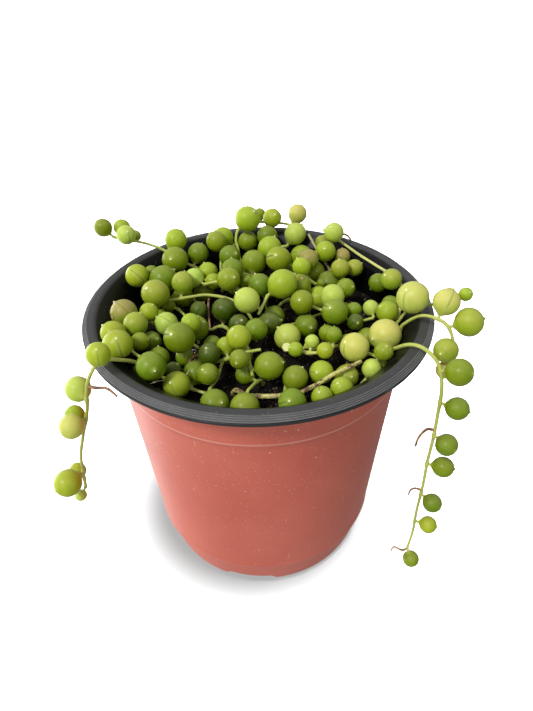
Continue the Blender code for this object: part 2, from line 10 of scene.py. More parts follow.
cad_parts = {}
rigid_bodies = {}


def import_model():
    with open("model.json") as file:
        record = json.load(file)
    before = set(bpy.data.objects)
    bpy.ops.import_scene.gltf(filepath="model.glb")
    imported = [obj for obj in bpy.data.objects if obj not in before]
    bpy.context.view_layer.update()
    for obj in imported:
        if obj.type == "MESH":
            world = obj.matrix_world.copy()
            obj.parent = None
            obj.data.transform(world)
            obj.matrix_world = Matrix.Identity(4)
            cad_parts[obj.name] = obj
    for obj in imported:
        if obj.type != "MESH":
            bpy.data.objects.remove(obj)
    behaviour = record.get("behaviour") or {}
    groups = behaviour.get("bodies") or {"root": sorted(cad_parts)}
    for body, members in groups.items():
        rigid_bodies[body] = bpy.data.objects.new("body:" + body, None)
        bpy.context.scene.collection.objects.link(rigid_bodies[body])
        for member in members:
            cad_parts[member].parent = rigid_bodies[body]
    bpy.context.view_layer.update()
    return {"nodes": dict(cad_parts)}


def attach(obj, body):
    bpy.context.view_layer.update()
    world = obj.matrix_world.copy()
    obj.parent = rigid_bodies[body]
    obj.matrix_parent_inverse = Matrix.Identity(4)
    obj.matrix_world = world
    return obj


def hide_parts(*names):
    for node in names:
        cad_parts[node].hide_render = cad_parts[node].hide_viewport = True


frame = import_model()
mm = 0.001
print("frame loaded:", len(frame["nodes"]), "nodes")


# Shader maths: a wire wraps one socket, and an expression on wires adds its Math nodes.
class Wire:
    def __init__(self, finish, socket):
        self.finish = finish
        self.socket = socket

    def maths(self, operation, *values):
        return self.finish.wire("ShaderNodeMath", {"operation": operation}, dict(enumerate(values)))

    def __add__(self, other):
        return self.maths("ADD", self, other)

    def __radd__(self, other):
        return self.maths("ADD", other, self)

    def __sub__(self, other):
        return self.maths("SUBTRACT", self, other)

    def __rsub__(self, other):
        return self.maths("SUBTRACT", other, self)

    def __mul__(self, other):
        return self.maths("MULTIPLY", self, other)

    def __rmul__(self, other):
        return self.maths("MULTIPLY", other, self)

    def __truediv__(self, other):
        return self.maths("DIVIDE", self, other)

    def __pow__(self, other):
        return self.maths("POWER", self, other)

    def __abs__(self):
        return self.maths("ABSOLUTE", self)

    def sine(self):
        return self.maths("SINE", self)

    def cosine(self):
        return self.maths("COSINE", self)

    def smaller(self, other):
        return self.maths("MINIMUM", self, other)


class Finish:
    def __init__(self, name, viewColour):
        self.material = bpy.data.materials.new(name)
        self.material.use_nodes = True
        self.material.diffuse_color = (*viewColour, 1)
        self.tree = self.material.node_tree
        self.tree.nodes.clear()

    def node(self, kind, settings=None, inputs=None):
        made = self.tree.nodes.new(kind)
        for key, value in (settings or {}).items():
            setattr(made, key, value)
        for key, value in (inputs or {}).items():
            if isinstance(value, Wire):
                self.tree.links.new(value.socket, made.inputs[key])
            else:
                made.inputs[key].default_value = value
        return made

    def wire(self, kind, settings=None, inputs=None, output=0):
        return Wire(self, self.node(kind, settings, inputs).outputs[output])

    def place(self):
        return self.wire("ShaderNodeTexCoord", output="Object")

    # Output 0 is the attribute's colour, 1 its vector, 2 its value and 3 its alpha.
    def attribute(self, name, output=0):
        return self.wire("ShaderNodeAttribute", {"attribute_name": name}, output=output)

    def split(self, vector):
        made = self.node("ShaderNodeSeparateXYZ", inputs={0: vector})
        return [Wire(self, socket) for socket in made.outputs]

    def join(self, x, y, z):
        return self.wire("ShaderNodeCombineXYZ", inputs={0: x, 1: y, 2: z})

    def scaled(self, vector, factors):
        return self.wire("ShaderNodeVectorMath", {"operation": "MULTIPLY"}, {0: vector, 1: factors})

    def noise(self, vector, scale, detail=2.0, roughness=0.5):
        return self.wire("ShaderNodeTexNoise", inputs={
            "Vector": vector, "Scale": scale, "Detail": detail, "Roughness": roughness})

    def cells(self, vector, scale):
        return self.wire("ShaderNodeTexVoronoi", inputs={"Vector": vector, "Scale": scale})

    # 0 below low, 1 above high, with a soft change between them.
    def rise(self, value, low, high):
        return self.wire("ShaderNodeMapRange", {"interpolation_type": "SMOOTHSTEP"}, {
            "Value": value, "From Min": low, "From Max": high, "To Min": 0.0, "To Max": 1.0})

    def fall(self, value, low, high):
        return 1 - self.rise(value, low, high)

    def mix(self, share, one, other, blend="MIX"):
        made = self.node("ShaderNodeMix", {"data_type": "RGBA", "blend_type": blend, "clamp_result": True})
        for socket, value in ((made.inputs[0], share), (made.inputs[6], one), (made.inputs[7], other)):
            if isinstance(value, Wire):
                self.tree.links.new(value.socket, socket)
            else:
                socket.default_value = value if isinstance(value, float) else (*value[:3], 1)
        return Wire(self, made.outputs[2])

    def bump(self, height, strength, distance, under=None):
        inputs = {"Height": height, "Strength": strength, "Distance": distance}
        if under:
            inputs["Normal"] = under
        return self.wire("ShaderNodeBump", inputs=inputs)

    def finish(self, inputs):
        surface = self.wire("ShaderNodeBsdfPrincipled", inputs=inputs)
        self.node("ShaderNodeOutputMaterial", inputs={"Surface": surface})
        return self.material


# Geometry Nodes: a tree with named inputs, and the plain mesh that it makes from an object.
class Maker:
    def __init__(self, name, inputs):
        self.tree = bpy.data.node_groups.new(name, "GeometryNodeTree")
        self.tree.is_modifier = True
        face = self.tree.interface
        face.new_socket("Geometry", in_out="INPUT", socket_type="NodeSocketGeometry")
        for label, (kind, value) in inputs.items():
            socket = face.new_socket(label, in_out="INPUT", socket_type="NodeSocket" + kind)
            if value is not None:
                socket.default_value = value
        face.new_socket("Geometry", in_out="OUTPUT", socket_type="NodeSocketGeometry")
        self.entry = self.tree.nodes.new("NodeGroupInput")
        self.exit = self.tree.nodes.new("NodeGroupOutput")

    def add(self, kind, settings=None, inputs=None):
        made = self.tree.nodes.new(kind)
        for key, value in (settings or {}).items():
            setattr(made, key, value)
        for key, value in (inputs or {}).items():
            for part in value if isinstance(value, list) else [value]:
                if isinstance(part, bpy.types.NodeSocket):
                    self.tree.links.new(part, made.inputs[key])
                else:
                    made.inputs[key].default_value = part
        return made

    def named(self, name, kind):
        made = self.add("GeometryNodeInputNamedAttribute", {"data_type": kind}, {"Name": name})
        return made.outputs["Attribute"]

    def dressed(self, geometry, finish):
        real = self.add("GeometryNodeRealizeInstances", inputs={"Geometry": geometry})
        smooth = self.add("GeometryNodeSetShadeSmooth", inputs={"Geometry": real.outputs[0]})
        return self.add("GeometryNodeSetMaterial", inputs={
            "Geometry": smooth.outputs[0], "Material": self.entry.outputs[finish]}).outputs[0]

    def make(self, name, source, values):
        modifier = source.modifiers.new("make", "NODES")
        modifier.node_group = self.tree
        for item in self.tree.interface.items_tree:
            if item.in_out == "INPUT" and item.name in values:
                modifier[item.identifier] = values[item.name]
        source.update_tag()
        bpy.context.view_layer.update()
        graph = bpy.context.evaluated_depsgraph_get()
        mesh = bpy.data.meshes.new_from_object(source.evaluated_get(graph), depsgraph=graph)
        source.modifiers.remove(modifier)
        mesh.name = name
        return addPiece(name, mesh)


def addPiece(name, mesh):
    obj = bpy.data.objects.new(name, mesh)
    bpy.context.scene.collection.objects.link(obj)
    return obj


def helperObject(name, mesh):
    obj = addPiece(name, mesh)
    obj.hide_render = True
    return obj


def meshFrom(name, points, edges=(), faces=()):
    mesh = bpy.data.meshes.new(name)
    mesh.from_pydata([tuple(map(float, point)) for point in points], list(edges), list(faces))
    mesh.update()
    return mesh


def setValues(mesh, name, kind, values):
    attribute = mesh.attributes.new(name, kind, "POINT")
    field = {"FLOAT": "value", "BOOLEAN": "value", "FLOAT_VECTOR": "vector", "FLOAT_COLOR": "color"}[kind]
    attribute.data.foreach_set(field, np.asarray(values).ravel())


def dropValues(mesh, names):
    for name in names:
        found = mesh.attributes.get(name)
        if found:
            mesh.attributes.remove(found)


# The strands: where each leaves the soil, its route, and its pearls' diameters and finishes from root
# to tip. A minus before a spot puts its pearl on the stem's other side, and a capital letter turns its
# dark slit to the front.
def strand(hole, path, pearls=(), tones="", spots=None, side=1, lean=(0, 0, 1), spread=50, thickness=0.7):
    return dict(hole=hole, path=path, pearls=pearls, tones=tones, spots=spots, side=side, lean=lean,
                spread=spread, thickness=thickness)


strands = {
    "strand_west_crest": strand(
        (-19, 26), [(-23, 31, 102), (-31, 35, 104.5), (-39, 38, 108.5), (-46, 39, 111), (-52, 38, 113),
            (-57, 37, 115)],
        (8.2, 10.4, 8.7, 7.3, 4.7, 6.7, 7.1), "mgblobg", spots=(14, 19, 26, 45, 41.5, -44.5, 54)),
    "strand_north_crest": strand(
        (-6, 38), [(-7, 44, 103), (-7, 51, 110), (-1, 56, 111.5), (6, 57.5, 110.5), (13, 56, 110),
            (20, 52, 109)],
        (10.3, 5.2, 7.6, 8.2), "bgby", spots=(22, 31, 37, 46)),
    "strand_east_rim": strand(
        (47, -9), [(49, -5, 103), (52.5, 4, 106), (50, 14, 107), (45, 22, 107.5), (39, 31, 108),
            (34, 39, 109), (27, 46, 112)],
        (7.8, 6.5, 7.3, 7.2, 7.9, 5.8), "bgomlo", spots=(9, 16, 24, 32, 62, 67), lean=(-0.6, -0.2, -0.1)),
    "strand_east_twig": strand(
        (44, -6), [(47, -8, 101), (50, -9, 107.5), (55, -11, 110.6), (60, -12.5, 112.5),
            (64, -14, 115)],
        (10.6, 2.7, 4.5), "ybb", spots=(20, 30, 34)),
    "strand_east_arch": strand(
        (46, -14), [(49, -14, 100), (52, -16, 107), (54, -19, 111), (57, -22, 112), (60, -24, 110.5),
            (61.5, -26, 106), (61, -28, 101)],
        (10.5, 8.3, 8.9, 7.6, 5.4), "wyoow", spots=(9, 23, -29, -34, 39), lean=(0, -0.3, 1)),
    "strand_east_fall": strand(
        (38, -24), [(42, -27, 102), (46, -32, 109.3), (50, -35.5, 110.3), (53.5, -38.5, 107),
            (55, -40, 100), (55.5, -40, 90), (56, -40, 78), (56, -40, 66), (56.5, -40, 54),
            (56.5, -40, 40), (57, -40, 27), (56.5, -40, 15)],
        (4.6, 8.2, 7.3, 7.2, 7.1, 6.6, 6.5, 6.5), "gmmmmmbg",
        spots=(8, 33, 45, 58.5, 72, 88.5, 104, 123), side=-1, lean=(0.75, -0.6, -0.2), spread=12),
    "strand_west_fall": strand(
        (-29, -25), [(-33, -28, 100), (-37, -31, 106), (-41, -34.5, 109.7), (-45.5, -37.5, 111.5),
            (-49, -39.5, 107.5), (-51.5, -39.5, 101), (-53, -39.5, 94), (-56, -40, 85), (-59, -41, 75),
            (-60, -41, 67), (-61, -41, 59)],
        (7, 7.3, 8.2, 7.6, 6.2, 8.9, 6, 4), "dblybbbl", spots=(9, 29, 44, 51, 54, 76, 79, 84),
        lean=(-0.5, 0, 0.6), spread=45),
    "strand_west_a": strand(
        (-2, 4), [(-8, 7, 102), (-18, 10, 103.5), (-26, 8, 104), (-33, 8, 103), (-39, 12, 102.5),
            (-42, 18, 103), (-43, 21, 103)],
        (8.5, 10, 10.4, 8.8, 5.6), "oombg", spots=(33, 38, 47, 52, 58)),
    "strand_west_b": strand(
        (-31, 2), [(-35, -3, 99.5), (-39, -5, 102.5), (-42, -11, 104), (-43, -18, 104),
            (-41, -25, 106), (-38, -29, 106.5), (-34.5, -31.5, 106.5)],
        (6.5, 6.4, 9.2, 8.2, 8, 5.9, 9), "bbpobgm", spots=(9, 15, 21, 27, 33, 32, 50)),
    "strand_west_c": strand(
        (-36, -9), [(-40, -13, 98), (-43, -20, 100), (-45, -27, 104)],
        (6.8, 5.4, 8.8), "mbb", spots=(7, 13, 24), side=-1),
    "strand_west_low": strand(
        (-36, -20), [(-32, -25, 97), (-26, -30, 97), (-19, -34, 97), (-14, -36, 96.5)],
        (7, 5.3, 8.5, 7.7), "mdbm", spots=(7, 12, 20, 22)),
    "strand_west_top": strand(
        (-22, -6), [(-26, -10, 100), (-26, -15, 105), (-24, -20, 106), (-19, -24, 105)],
        (8.3, 7.9, 6.6, 9.9), "glbM", spots=(6, 13, 18, 25), side=-1),
    "strand_west_mid": strand(
        (-11, -1), [(-14, 0, 96.5), (-18, -2, 96.5), (-24, 2, 97), (-30, 8, 99)],
        (8.9, 6.4, 6.6, 5.2), "dgdg"),
    "strand_front_a": strand(
        (-5, -8), [(-6, -13, 100), (-5, -19, 103), (-4, -24, 104), (-3, -29, 101.5), (-2, -33, 100)],
        (7.6, 7.6, 8.9), "mbG", spots=(12, 21, 27), side=-1),
    "strand_front_b": strand(
        (-11, -18), [(-12, -23, 97.5), (-13, -30, 97.5), (-15, -36, 97.5), (-16, -41, 96.5)],
        (7.7, 6.6, 8.6), "ggm", side=-1),
    "strand_front_f": strand(
        (-22, -19), [(-18, -23, 98), (-12, -26, 100.5), (-5, -27.5, 104), (1, -29, 106)],
        (6, 6.8, 6, 6), "gdbg", spots=(-4, 12, 18, 24), side=-1),
    "strand_front_c": strand(
        (1, -30), [(-1, -33, 96.5), (-3, -37, 96.3), (-5, -41, 96.3)],
        (6.4, 8.9), "mg"),
    "strand_front_buds": strand(
        (14, -12), [(14, -16, 97), (14, -20, 99.5), (16, -23, 101), (20, -24, 102), (24, -22, 102)],
        (8.8, 2.6, 5, 4.6, 5, 5.4), "lyblbg"),
    "strand_front_d": strand(
        (10, -25), [(9, -30, 97), (8, -36, 96.3), (11, -41, 96.3)],
        (5.5, 7.9, 8.1), "dGm"),
    "strand_front_g": strand(
        (19, -28), [(22, -28.5, 97.5), (25.5, -30, 97.5)],
        (7.8, 3.3, 7.4), "bbo", spots=(5, 9, 11)),
    "strand_front_e": strand(
        (14, -43), [(18, -42, 96.3), (24, -39.5, 96.3), (29, -36.5, 97), (33, -33, 98)],
        (6.7, 7.2, 6.2), "Bbl", spots=(9, -16, 24)),
    "strand_southeast": strand(
        (33, -21), [(34, -24, 100), (36, -27, 101), (37, -29.5, 101)],
        (9.2, 6), "yg", spots=(8, 16)),
    "strand_east_low": strand(
        (18, -15), [(22, -15, 97.5), (28, -15, 97.5), (34, -15.5, 98)],
        (5.6, 6.7, 6.7), "gmg", spots=(8, 12, 20), side=-1),
    "strand_middle_a": strand(
        (7, 12), [(11, 8, 102), (17, 3, 103), (26, -2.5, 102), (34, -6, 100.5), (40, -7, 102)],
        (8.8, 8.5, 8.9, 8.8, 5.7, 5.8, 5.7), "mglGmdl", spots=(11, 18, 26, 31, 38, 35, 44), side=-1),
    "strand_middle_b": strand(
        (3, 14), [(3, 10, 101), (4, 5, 105.5), (3, 0, 105.5), (1, -5, 103.5)],
        (8.6, 10.2, 8.8), "mbl", spots=(9, 15, 23)),
    "strand_middle_c": strand(
        (6, -4), [(8, -2, 97), (12, 0, 96.5), (17, 2, 96.5), (22, 6, 96.5), (27, 6, 97)],
        (8, 8.3, 6.8, 7.4), "mmdm", side=-1),
    "strand_middle_d": strand(
        (-3, 17), [(-7, 17, 101), (-11, 16, 105.5), (-15, 14, 107), (-20, 16, 104.5)],
        (8.3, 8.4, 8.4, 7.7), "Dmgl", side=-1),
    "strand_middle_e": strand(
        (-1, -5), [(-2, -4, 99), (-7, -5, 99), (-12, -10, 96.5)],
        (8.7, 7, 6.5), "ddm"),
    "strand_middle_f": strand(
        (-24, 18), [(-28, 20, 97), (-33, 20, 97.5), (-38, 15, 98)],
        (7.6, 8.2, 7, 7.4), "ggmd"),
    "strand_middle_g": strand(
        (-4, 28), [(-9, 28, 97), (-13, 26, 97.5), (-18, 25, 98)],
        (7.4, 6.8, 7.8), "dmb"),
    "strand_north_a": strand(
        (2, 24), [(-1, 24, 101), (-5, 23, 105), (-9, 22, 104.5), (-13, 20, 103)],
        (7.8, 9.8, 5.5, 6.4), "mggb", side=-1),
    "strand_north_b": strand(
        (15, 21), [(16, 25, 103), (12, 30, 104.5), (6, 33, 104), (1, 35, 103), (-3, 40, 102)],
        (5.5, 8.6, 9.5, 9.8), "dpGb", spots=(7, 13, 20, 28), side=-1),
    "strand_north_c": strand(
        (-15, 29), [(-15, 34, 104), (-13, 40, 106), (-10, 46, 105)],
        (8.3, 8.1, 8, 8.1), "mggb", spots=(11, 17, 23, 27)),
    "strand_north_d": strand(
        (0, 43), [(1, 46, 100), (4, 47, 103), (8, 46, 104.5), (12, 45, 105)],
        (7, 8.6, 9.2), "gml", spots=(8, 14, 21), side=-1),
    "strand_northeast_a": strand(
        (21, 36), [(23, 39, 98.5), (25, 41, 101.5), (29, 38, 102.5)],
        (8.4, 8.6, 8.4), "bbb"),
    "strand_northeast_b": strand(
        (28, 12), [(29, 16, 101), (32, 21, 102), (33.5, 26, 102), (34, 31, 103)],
        (9, 7.1, 7.1, 6.8, 6.6), "bgoop", side=-1),
    "strand_east_bud": strand(
        (24, 17), [(23, 20, 100), (19, 19, 104.5)],
        (9.6, 3.5, 7.1), "mmB", spots=(5, 9, 13)),
    "strand_northeast_c": strand(
        (10, 34), [(13, 37, 97), (14, 41, 98), (11, 45, 98.5)],
        (7.2, 7.8, 7), "mgd"),
    "cut_stub": strand(
        (32, 29), [(29, 32, 101), (25, 37, 106), (21, 45, 110)]),
    "old_stem": strand(
        (-8, -34), [(-3, -37.3, 95.8), (3, -38.6, 95.8), (7, -39.4, 96.2), (11.5, -40.2, 97.3),
            (17.4, -38.9, 99.5), (22.4, -36.7, 101.5), (28, -34, 103), (31.5, -31.5, 103.5)],
        thickness=0.95),
}


soil = {
    "height": 94.0,          # level of the surface above the floor
    "fit": 0.3,
    "bumps": 1.3,            # how far the surface rises and falls
    "crumbPerCm2": 95.0,
    "crumbSize": (0.7, 2.3),
    "barkPerCm2": 4.5,
    "barkSize": (1.6, 4.2),
    "perlitePerCm2": 7.0,
    "perliteSize": (0.5, 2.0),
    "rings": 64,
    "sides": 168,
    "coverInset": 1.2,       # the bits are scattered on a sheet that lies this far in from the wall and down
    "coverDrop": 0.1,
    "seed": 5,
}

pot = {
    "height": 108.1,
    "wall": 1.0,
    "floor": 1.4,
    "lipRadius": 60.0,
    "lipDrop": 3.0,
    "rimInnerRadius": 56.0,
    "throatRadius": 51.0,
    "throatHeight": 103.8,
    "shoulderRadius": 52.0,
    "upperRing": 88.2,
    "footRingRadius": 46.0,
    "footRing": 13.9,
    "footRadius": 42.9,
    "steps": 192,
    "lipWall": 1.2,
    "ridges": 4,             # fine ridges round the lip's outer edge, each a step further out and down
    "ridgeStep": 0.46,
    "ridgeDrop": 0.38,
    "notches": 4,
    "notchAzimuth": 262.0,
    "notchWidth": 22.0,
    "notchHeight": 3.0,
    "notchSlope": 0.8,
    "notchDepth": 6.0,
    "notchReach": 4.0,       # how far the cutter stands out of the foot
    "notchBevel": 0.8,
}

growth = {
    "seed": 7,
    "holeDepth": 8.0,
    "sample": 2.0,           # distance between the points that a stem is worked out at
    "stalk": 1.7,            # from the stem's middle to the pearl's skin
    "jitter": 10.0,
    "sizeShift": 0.03,
    "endForward": 1.5,
    "settleSteps": 420,
    "pearlGap": 0.45,
    "pearlStemGap": 0.55,
    "stemGap": 1.1,
    "homePull": 0.02,        # how strongly all is drawn to its first place, and how fast that fades
    "pullFade": 1.5,
    "rimGap": 0.8,
    "lengthHold": 0.4,
    "bendHold": 0.3,
    "stalkHold": 0.7,
    "rootHeight": 1.5,
    "firstSeat": 6,
    "curveSteps": 24,
    "pairEvery": 20,         # close pairs are looked for again after so many steps, with this much to spare
    "pairMargin": 4.0,
    "ownReach": 4,           # points of one stem that are no further apart than this don't push each other
}


def smoothRoute(points, step):
    knots = np.array([points[0], *points, points[-1]], float)
    ends = [knots[1] * 2 - knots[2], knots[-2] * 2 - knots[-3]]
    knots[0], knots[-1] = ends
    fine = []
    for before, start, end, after in zip(knots, knots[1:], knots[2:], knots[3:]):
        t = np.linspace(0, 1, growth["curveSteps"], endpoint=False)[:, None]
        fine.append(0.5 * (2 * start + (end - before) * t
                           + (2 * before - 5 * start + 4 * end - after) * t ** 2
                           + (3 * start - before - 3 * end + after) * t ** 3))
    fine = np.concatenate([*fine, knots[-2:-1]])
    along = np.concatenate([[0], np.cumsum(np.linalg.norm(np.diff(fine, axis=0), axis=1))])
    even = np.linspace(0, along[-1], max(4, round(along[-1] / step) + 1))
    return np.stack([np.interp(even, along, fine[:, k]) for k in range(3)], axis=1)


def unit(vector):
    return vector / np.linalg.norm(vector, axis=-1, keepdims=True).clip(1e-9)


def layOut():
    draw = np.random.default_rng(growth["seed"])
    stems, owners, thicknesses, pearls = [], [], [], []
    for index, spec in enumerate(strands.values()):
        x, y = spec["hole"]
        root = [(x, y, soil["height"] - growth["holeDepth"] + soil["fit"]), (x, y, soil["height"] + 1)]
        stem = smoothRoute(root + spec["path"], growth["sample"])
        start = sum(map(len, stems))
        last = len(stem) - 1
        seats = np.linspace(growth["firstSeat"], last, len(spec["pearls"]))
        flips = np.ones(len(seats))
        if spec["spots"]:
            seats = (abs(np.array(spec["spots"])) + growth["holeDepth"]) / growth["sample"]
            flips = np.sign(spec["spots"])
        tangents = unit(np.gradient(stem, axis=0))
        for k, (diameter, seat) in enumerate(zip(spec["pearls"], seats)):
            seat = min(int(round(seat)), last)
            tangent = tangents[seat]
            lean = np.array(spec["lean"], float)
            lean = unit(lean - tangent * (lean @ tangent))
            turn = math.radians(spec["spread"] + draw.uniform(-growth["jitter"], growth["jitter"]))
            sideways = spec["side"] * flips[k] * (-1) ** k * np.cross(tangent, lean)
            axis = math.cos(turn) * lean + math.sin(turn) * sideways
            if seat == last:
                axis = unit(axis + growth["endForward"] * tangent)
            radius = diameter / 2 * draw.uniform(1 - growth["sizeShift"], 1 + growth["sizeShift"])
            centre = stem[seat] + axis * (radius + growth["stalk"])
            pearls.append((start + seat, radius, centre, spec["tones"][k]))
        stems.append(stem)
        owners += [index] * len(stem)
        thicknesses += [spec["thickness"]] * len(stem)
    return np.concatenate(stems), np.array(owners), np.array(thicknesses), pearls


def innerRadius(height):
    heights = (0, pot["footRing"], pot["throatHeight"], pot["height"])
    radii = (pot["footRadius"] - pot["wall"], pot["footRingRadius"] - pot["wall"], pot["throatRadius"],
             pot["rimInnerRadius"])
    return np.interp(height, heights, radii)


def nearestOnWall(section):
    lip, top, edge = pot["lipRadius"], pot["height"], pot["lipWall"]
    outline = np.array([
        (pot["footRingRadius"] - pot["wall"], pot["footRing"]), (pot["throatRadius"], pot["throatHeight"]),
        (pot["rimInnerRadius"], top), (lip - edge, top), (lip, top - edge), (lip, 0)])
    start, along = outline[:-1], np.diff(outline, axis=0)
    share = ((section[:, None] - start) * along).sum(axis=2) / (along ** 2).sum(axis=1)
    found = start + along * share.clip(0, 1)[..., None]
    best = np.linalg.norm(section[:, None] - found, axis=2).argmin(axis=1)
    return found[np.arange(len(section)), best]


def keepOffPot(points, room):
    radius = np.linalg.norm(points[:, :2], axis=1)
    outward = points[:, :2] / radius[:, None].clip(1e-6)
    section = np.stack([radius, points[:, 2]], axis=1)
    away = section - nearestOnWall(section)
    distance = np.linalg.norm(away, axis=1)
    low = points[:, 2] < pot["height"]
    buried = (radius > innerRadius(points[:, 2])) & (radius < pot["lipRadius"]) & low
    depth = np.where(buried, -room - distance, (room - distance).clip(0))
    away *= (depth / distance.clip(1e-6))[:, None]
    moved = points.copy()
    moved[:, :2] += outward * away[:, :1]
    moved[:, 2] += away[:, 1]
    inside = radius < pot["lipRadius"]
    moved[inside, 2] = np.maximum(moved[inside, 2], soil["height"] + room[inside])
    return moved


def closePairs(a, b, reach, allowed):
    distance = np.linalg.norm(a[:, None] - b[None], axis=2)
    return np.nonzero((distance < reach) & allowed)


def pushApart(a, b, pairs, room):
    one, two = pairs
    between = a[one] - b[two]
    distance = np.linalg.norm(between, axis=1)
    overlap = (room[one, two] - distance).clip(0)
    push = between * (overlap / 2 / distance.clip(1e-6))[:, None]
    moved = []
    for index, shift, count in ((one, push, len(a)), (two, -push, len(b))):
        total = np.stack([np.bincount(index, shift[:, k], count) for k in range(3)], axis=1)
        pushes = np.bincount(index, overlap > 0, count).clip(1)
        moved.append(total / pushes[:, None] ** 0.5)
    return moved


# Stems and pearls make room for each other, with stems held to their length and pearls to their stalks.
def settle():
    stem, owner, thickness, pearls = layOut()
    seat = np.array([pearl[0] for pearl in pearls])
    radius = np.array([pearl[1] for pearl in pearls])
    centre = np.array([pearl[2] for pearl in pearls])
    order = np.arange(len(stem))
    same = owner[1:] == owner[:-1]
    links = order[:-1][same]
    rest = np.linalg.norm(stem[links + 1] - stem[links], axis=1)
    middle = order[1:-1][same[1:] & same[:-1]]
    bend = (stem[middle - 1] + stem[middle + 1]) / 2 - stem[middle]
    rooted = stem[:, 2] < soil["height"] + growth["rootHeight"]
    home, homeCentre = stem.copy(), centre.copy()
    pearlRoom = radius[:, None] + radius[None] + growth["pearlGap"]
    stemRoom = radius[:, None] + thickness[None] + growth["pearlStemGap"]
    ownRoom = thickness[:, None] + thickness[None] + growth["stemGap"]
    otherPearl = np.triu(np.ones_like(pearlRoom, bool), 1)
    otherSeat = abs(order[None] - seat[:, None]) > 1
    farAlong = abs(order[:, None] - order[None]) > growth["ownReach"]
    otherStem = np.triu((owner[:, None] != owner[None]) | farAlong, 1)
    steps, margin, hold = growth["settleSteps"], growth["pairMargin"], growth["stalkHold"]
    for step in range(steps):
        if step % growth["pairEvery"] == 0:
            pearlPairs = closePairs(centre, centre, pearlRoom + margin, otherPearl)
            seatPairs = closePairs(centre, stem, stemRoom + margin, otherSeat)
            stemPairs = closePairs(stem, stem, ownRoom + margin, otherStem)
        pull = growth["homePull"] * max(0.0, 1 - growth["pullFade"] * step / steps)
        stem += (home - stem) * pull
        centre += (homeCentre - centre) * pull
        between = stem[links + 1] - stem[links]
        length = np.linalg.norm(between, axis=1)
        shift = between * ((length - rest) / length.clip(1e-6) * growth["lengthHold"])[:, None]
        stem[links] += shift
        stem[links + 1] -= shift
        halfway = (stem[middle - 1] + stem[middle + 1]) / 2
        stem[middle] += (halfway - stem[middle] - bend) * growth["bendHold"]
        apart = centre - stem[seat]
        reach = np.linalg.norm(apart, axis=1)
        shift = apart * ((radius + growth["stalk"] - reach) / reach)[:, None]
        centre += shift * hold
        np.add.at(stem, seat, -shift * (1 - hold))
        one, two = pushApart(centre, centre, pearlPairs, pearlRoom)
        centre += one + two
        one, two = pushApart(centre, stem, seatPairs, stemRoom)
        centre += one
        stem += two
        one, two = pushApart(stem, stem, stemPairs, ownRoom)
        stem += one + two
        centre = keepOffPot(centre, radius + growth["pearlGap"])
        free = keepOffPot(stem, thickness + growth["rimGap"])
        stem = np.where(rooted[:, None], home, free)
    return stem, owner, thickness, seat, radius, centre, [pearl[3] for pearl in pearls]


# Pearls. The unit pearl points up: drawn out below to its stalk, and above to a small tip.
pearl = {
    "sides": 36,
    "rings": 24,
    "tip": 0.15,            # how far the tip and the neck stand out, in radii, and their spread in radians
    "tipSpread": 0.085,
    "neck": 0.16,
    "neckSpread": 0.26,
    "squeeze": (0.95, 1.05),
    "stemScale": 0.92,
    "stemTip": 0.75,
    "nodeSwell": 0.3,        # how much a stem thickens where a pearl sits, and over how many points
    "nodeSpread": 0.7,
    "shade": (0.88, 1.12),
    "redTint": (0.86, 1.04),
    "scarShare": 0.07,
    "stalkWidth": 0.5,
    "seed": 11,
}

# Each letter of the tones: the skin's colour, the blush on its upper side and the blush's strength.
skins = {
    "l": ((0.56, 0.67, 0.10), (0.60, 0.62, 0.16), 0.15),
    "b": ((0.38, 0.47, 0.018), (0.44, 0.46, 0.06), 0.15),
    "g": ((0.23, 0.30, 0.006), (0.36, 0.36, 0.04), 0.15),
    "m": ((0.17, 0.25, 0.003), (0.29, 0.30, 0.03), 0.15),
    "d": ((0.055, 0.09, 0.001), (0.10, 0.12, 0.008), 0.12),
    "y": ((0.62, 0.61, 0.11), (0.62, 0.50, 0.17), 0.4),
    "w": ((0.70, 0.68, 0.12), (0.66, 0.50, 0.18), 0.55),
    "o": ((0.31, 0.385, 0.017), (0.40, 0.36, 0.07), 0.45),
    "p": ((0.27, 0.32, 0.02), (0.37, 0.26, 0.10), 0.75),
}


def turnedFaces(rings, sides):
    faces = [(0, 1 + (k + 1) % sides, 1 + k) for k in range(sides)]
    for ring in range(rings - 3):
        start = 1 + ring * sides
        for k in range(sides):
            after = (k + 1) % sides
            faces.append((start + k, start + after, start + sides + after, start + sides + k))
    last = 1 + (rings - 3) * sides
    top = last + sides
    return faces + [(last + k, last + (k + 1) % sides, top) for k in range(sides)]


def turnedPoints(section, sides):
    around = np.arange(sides) / sides * 2 * math.pi
    points = [(0, 0, section[0][1])]
    for radius, height in section[1:-1]:
        points += [(radius * math.cos(a), radius * math.sin(a), height) for a in around]
    return points + [(0, 0, section[-1][1])]


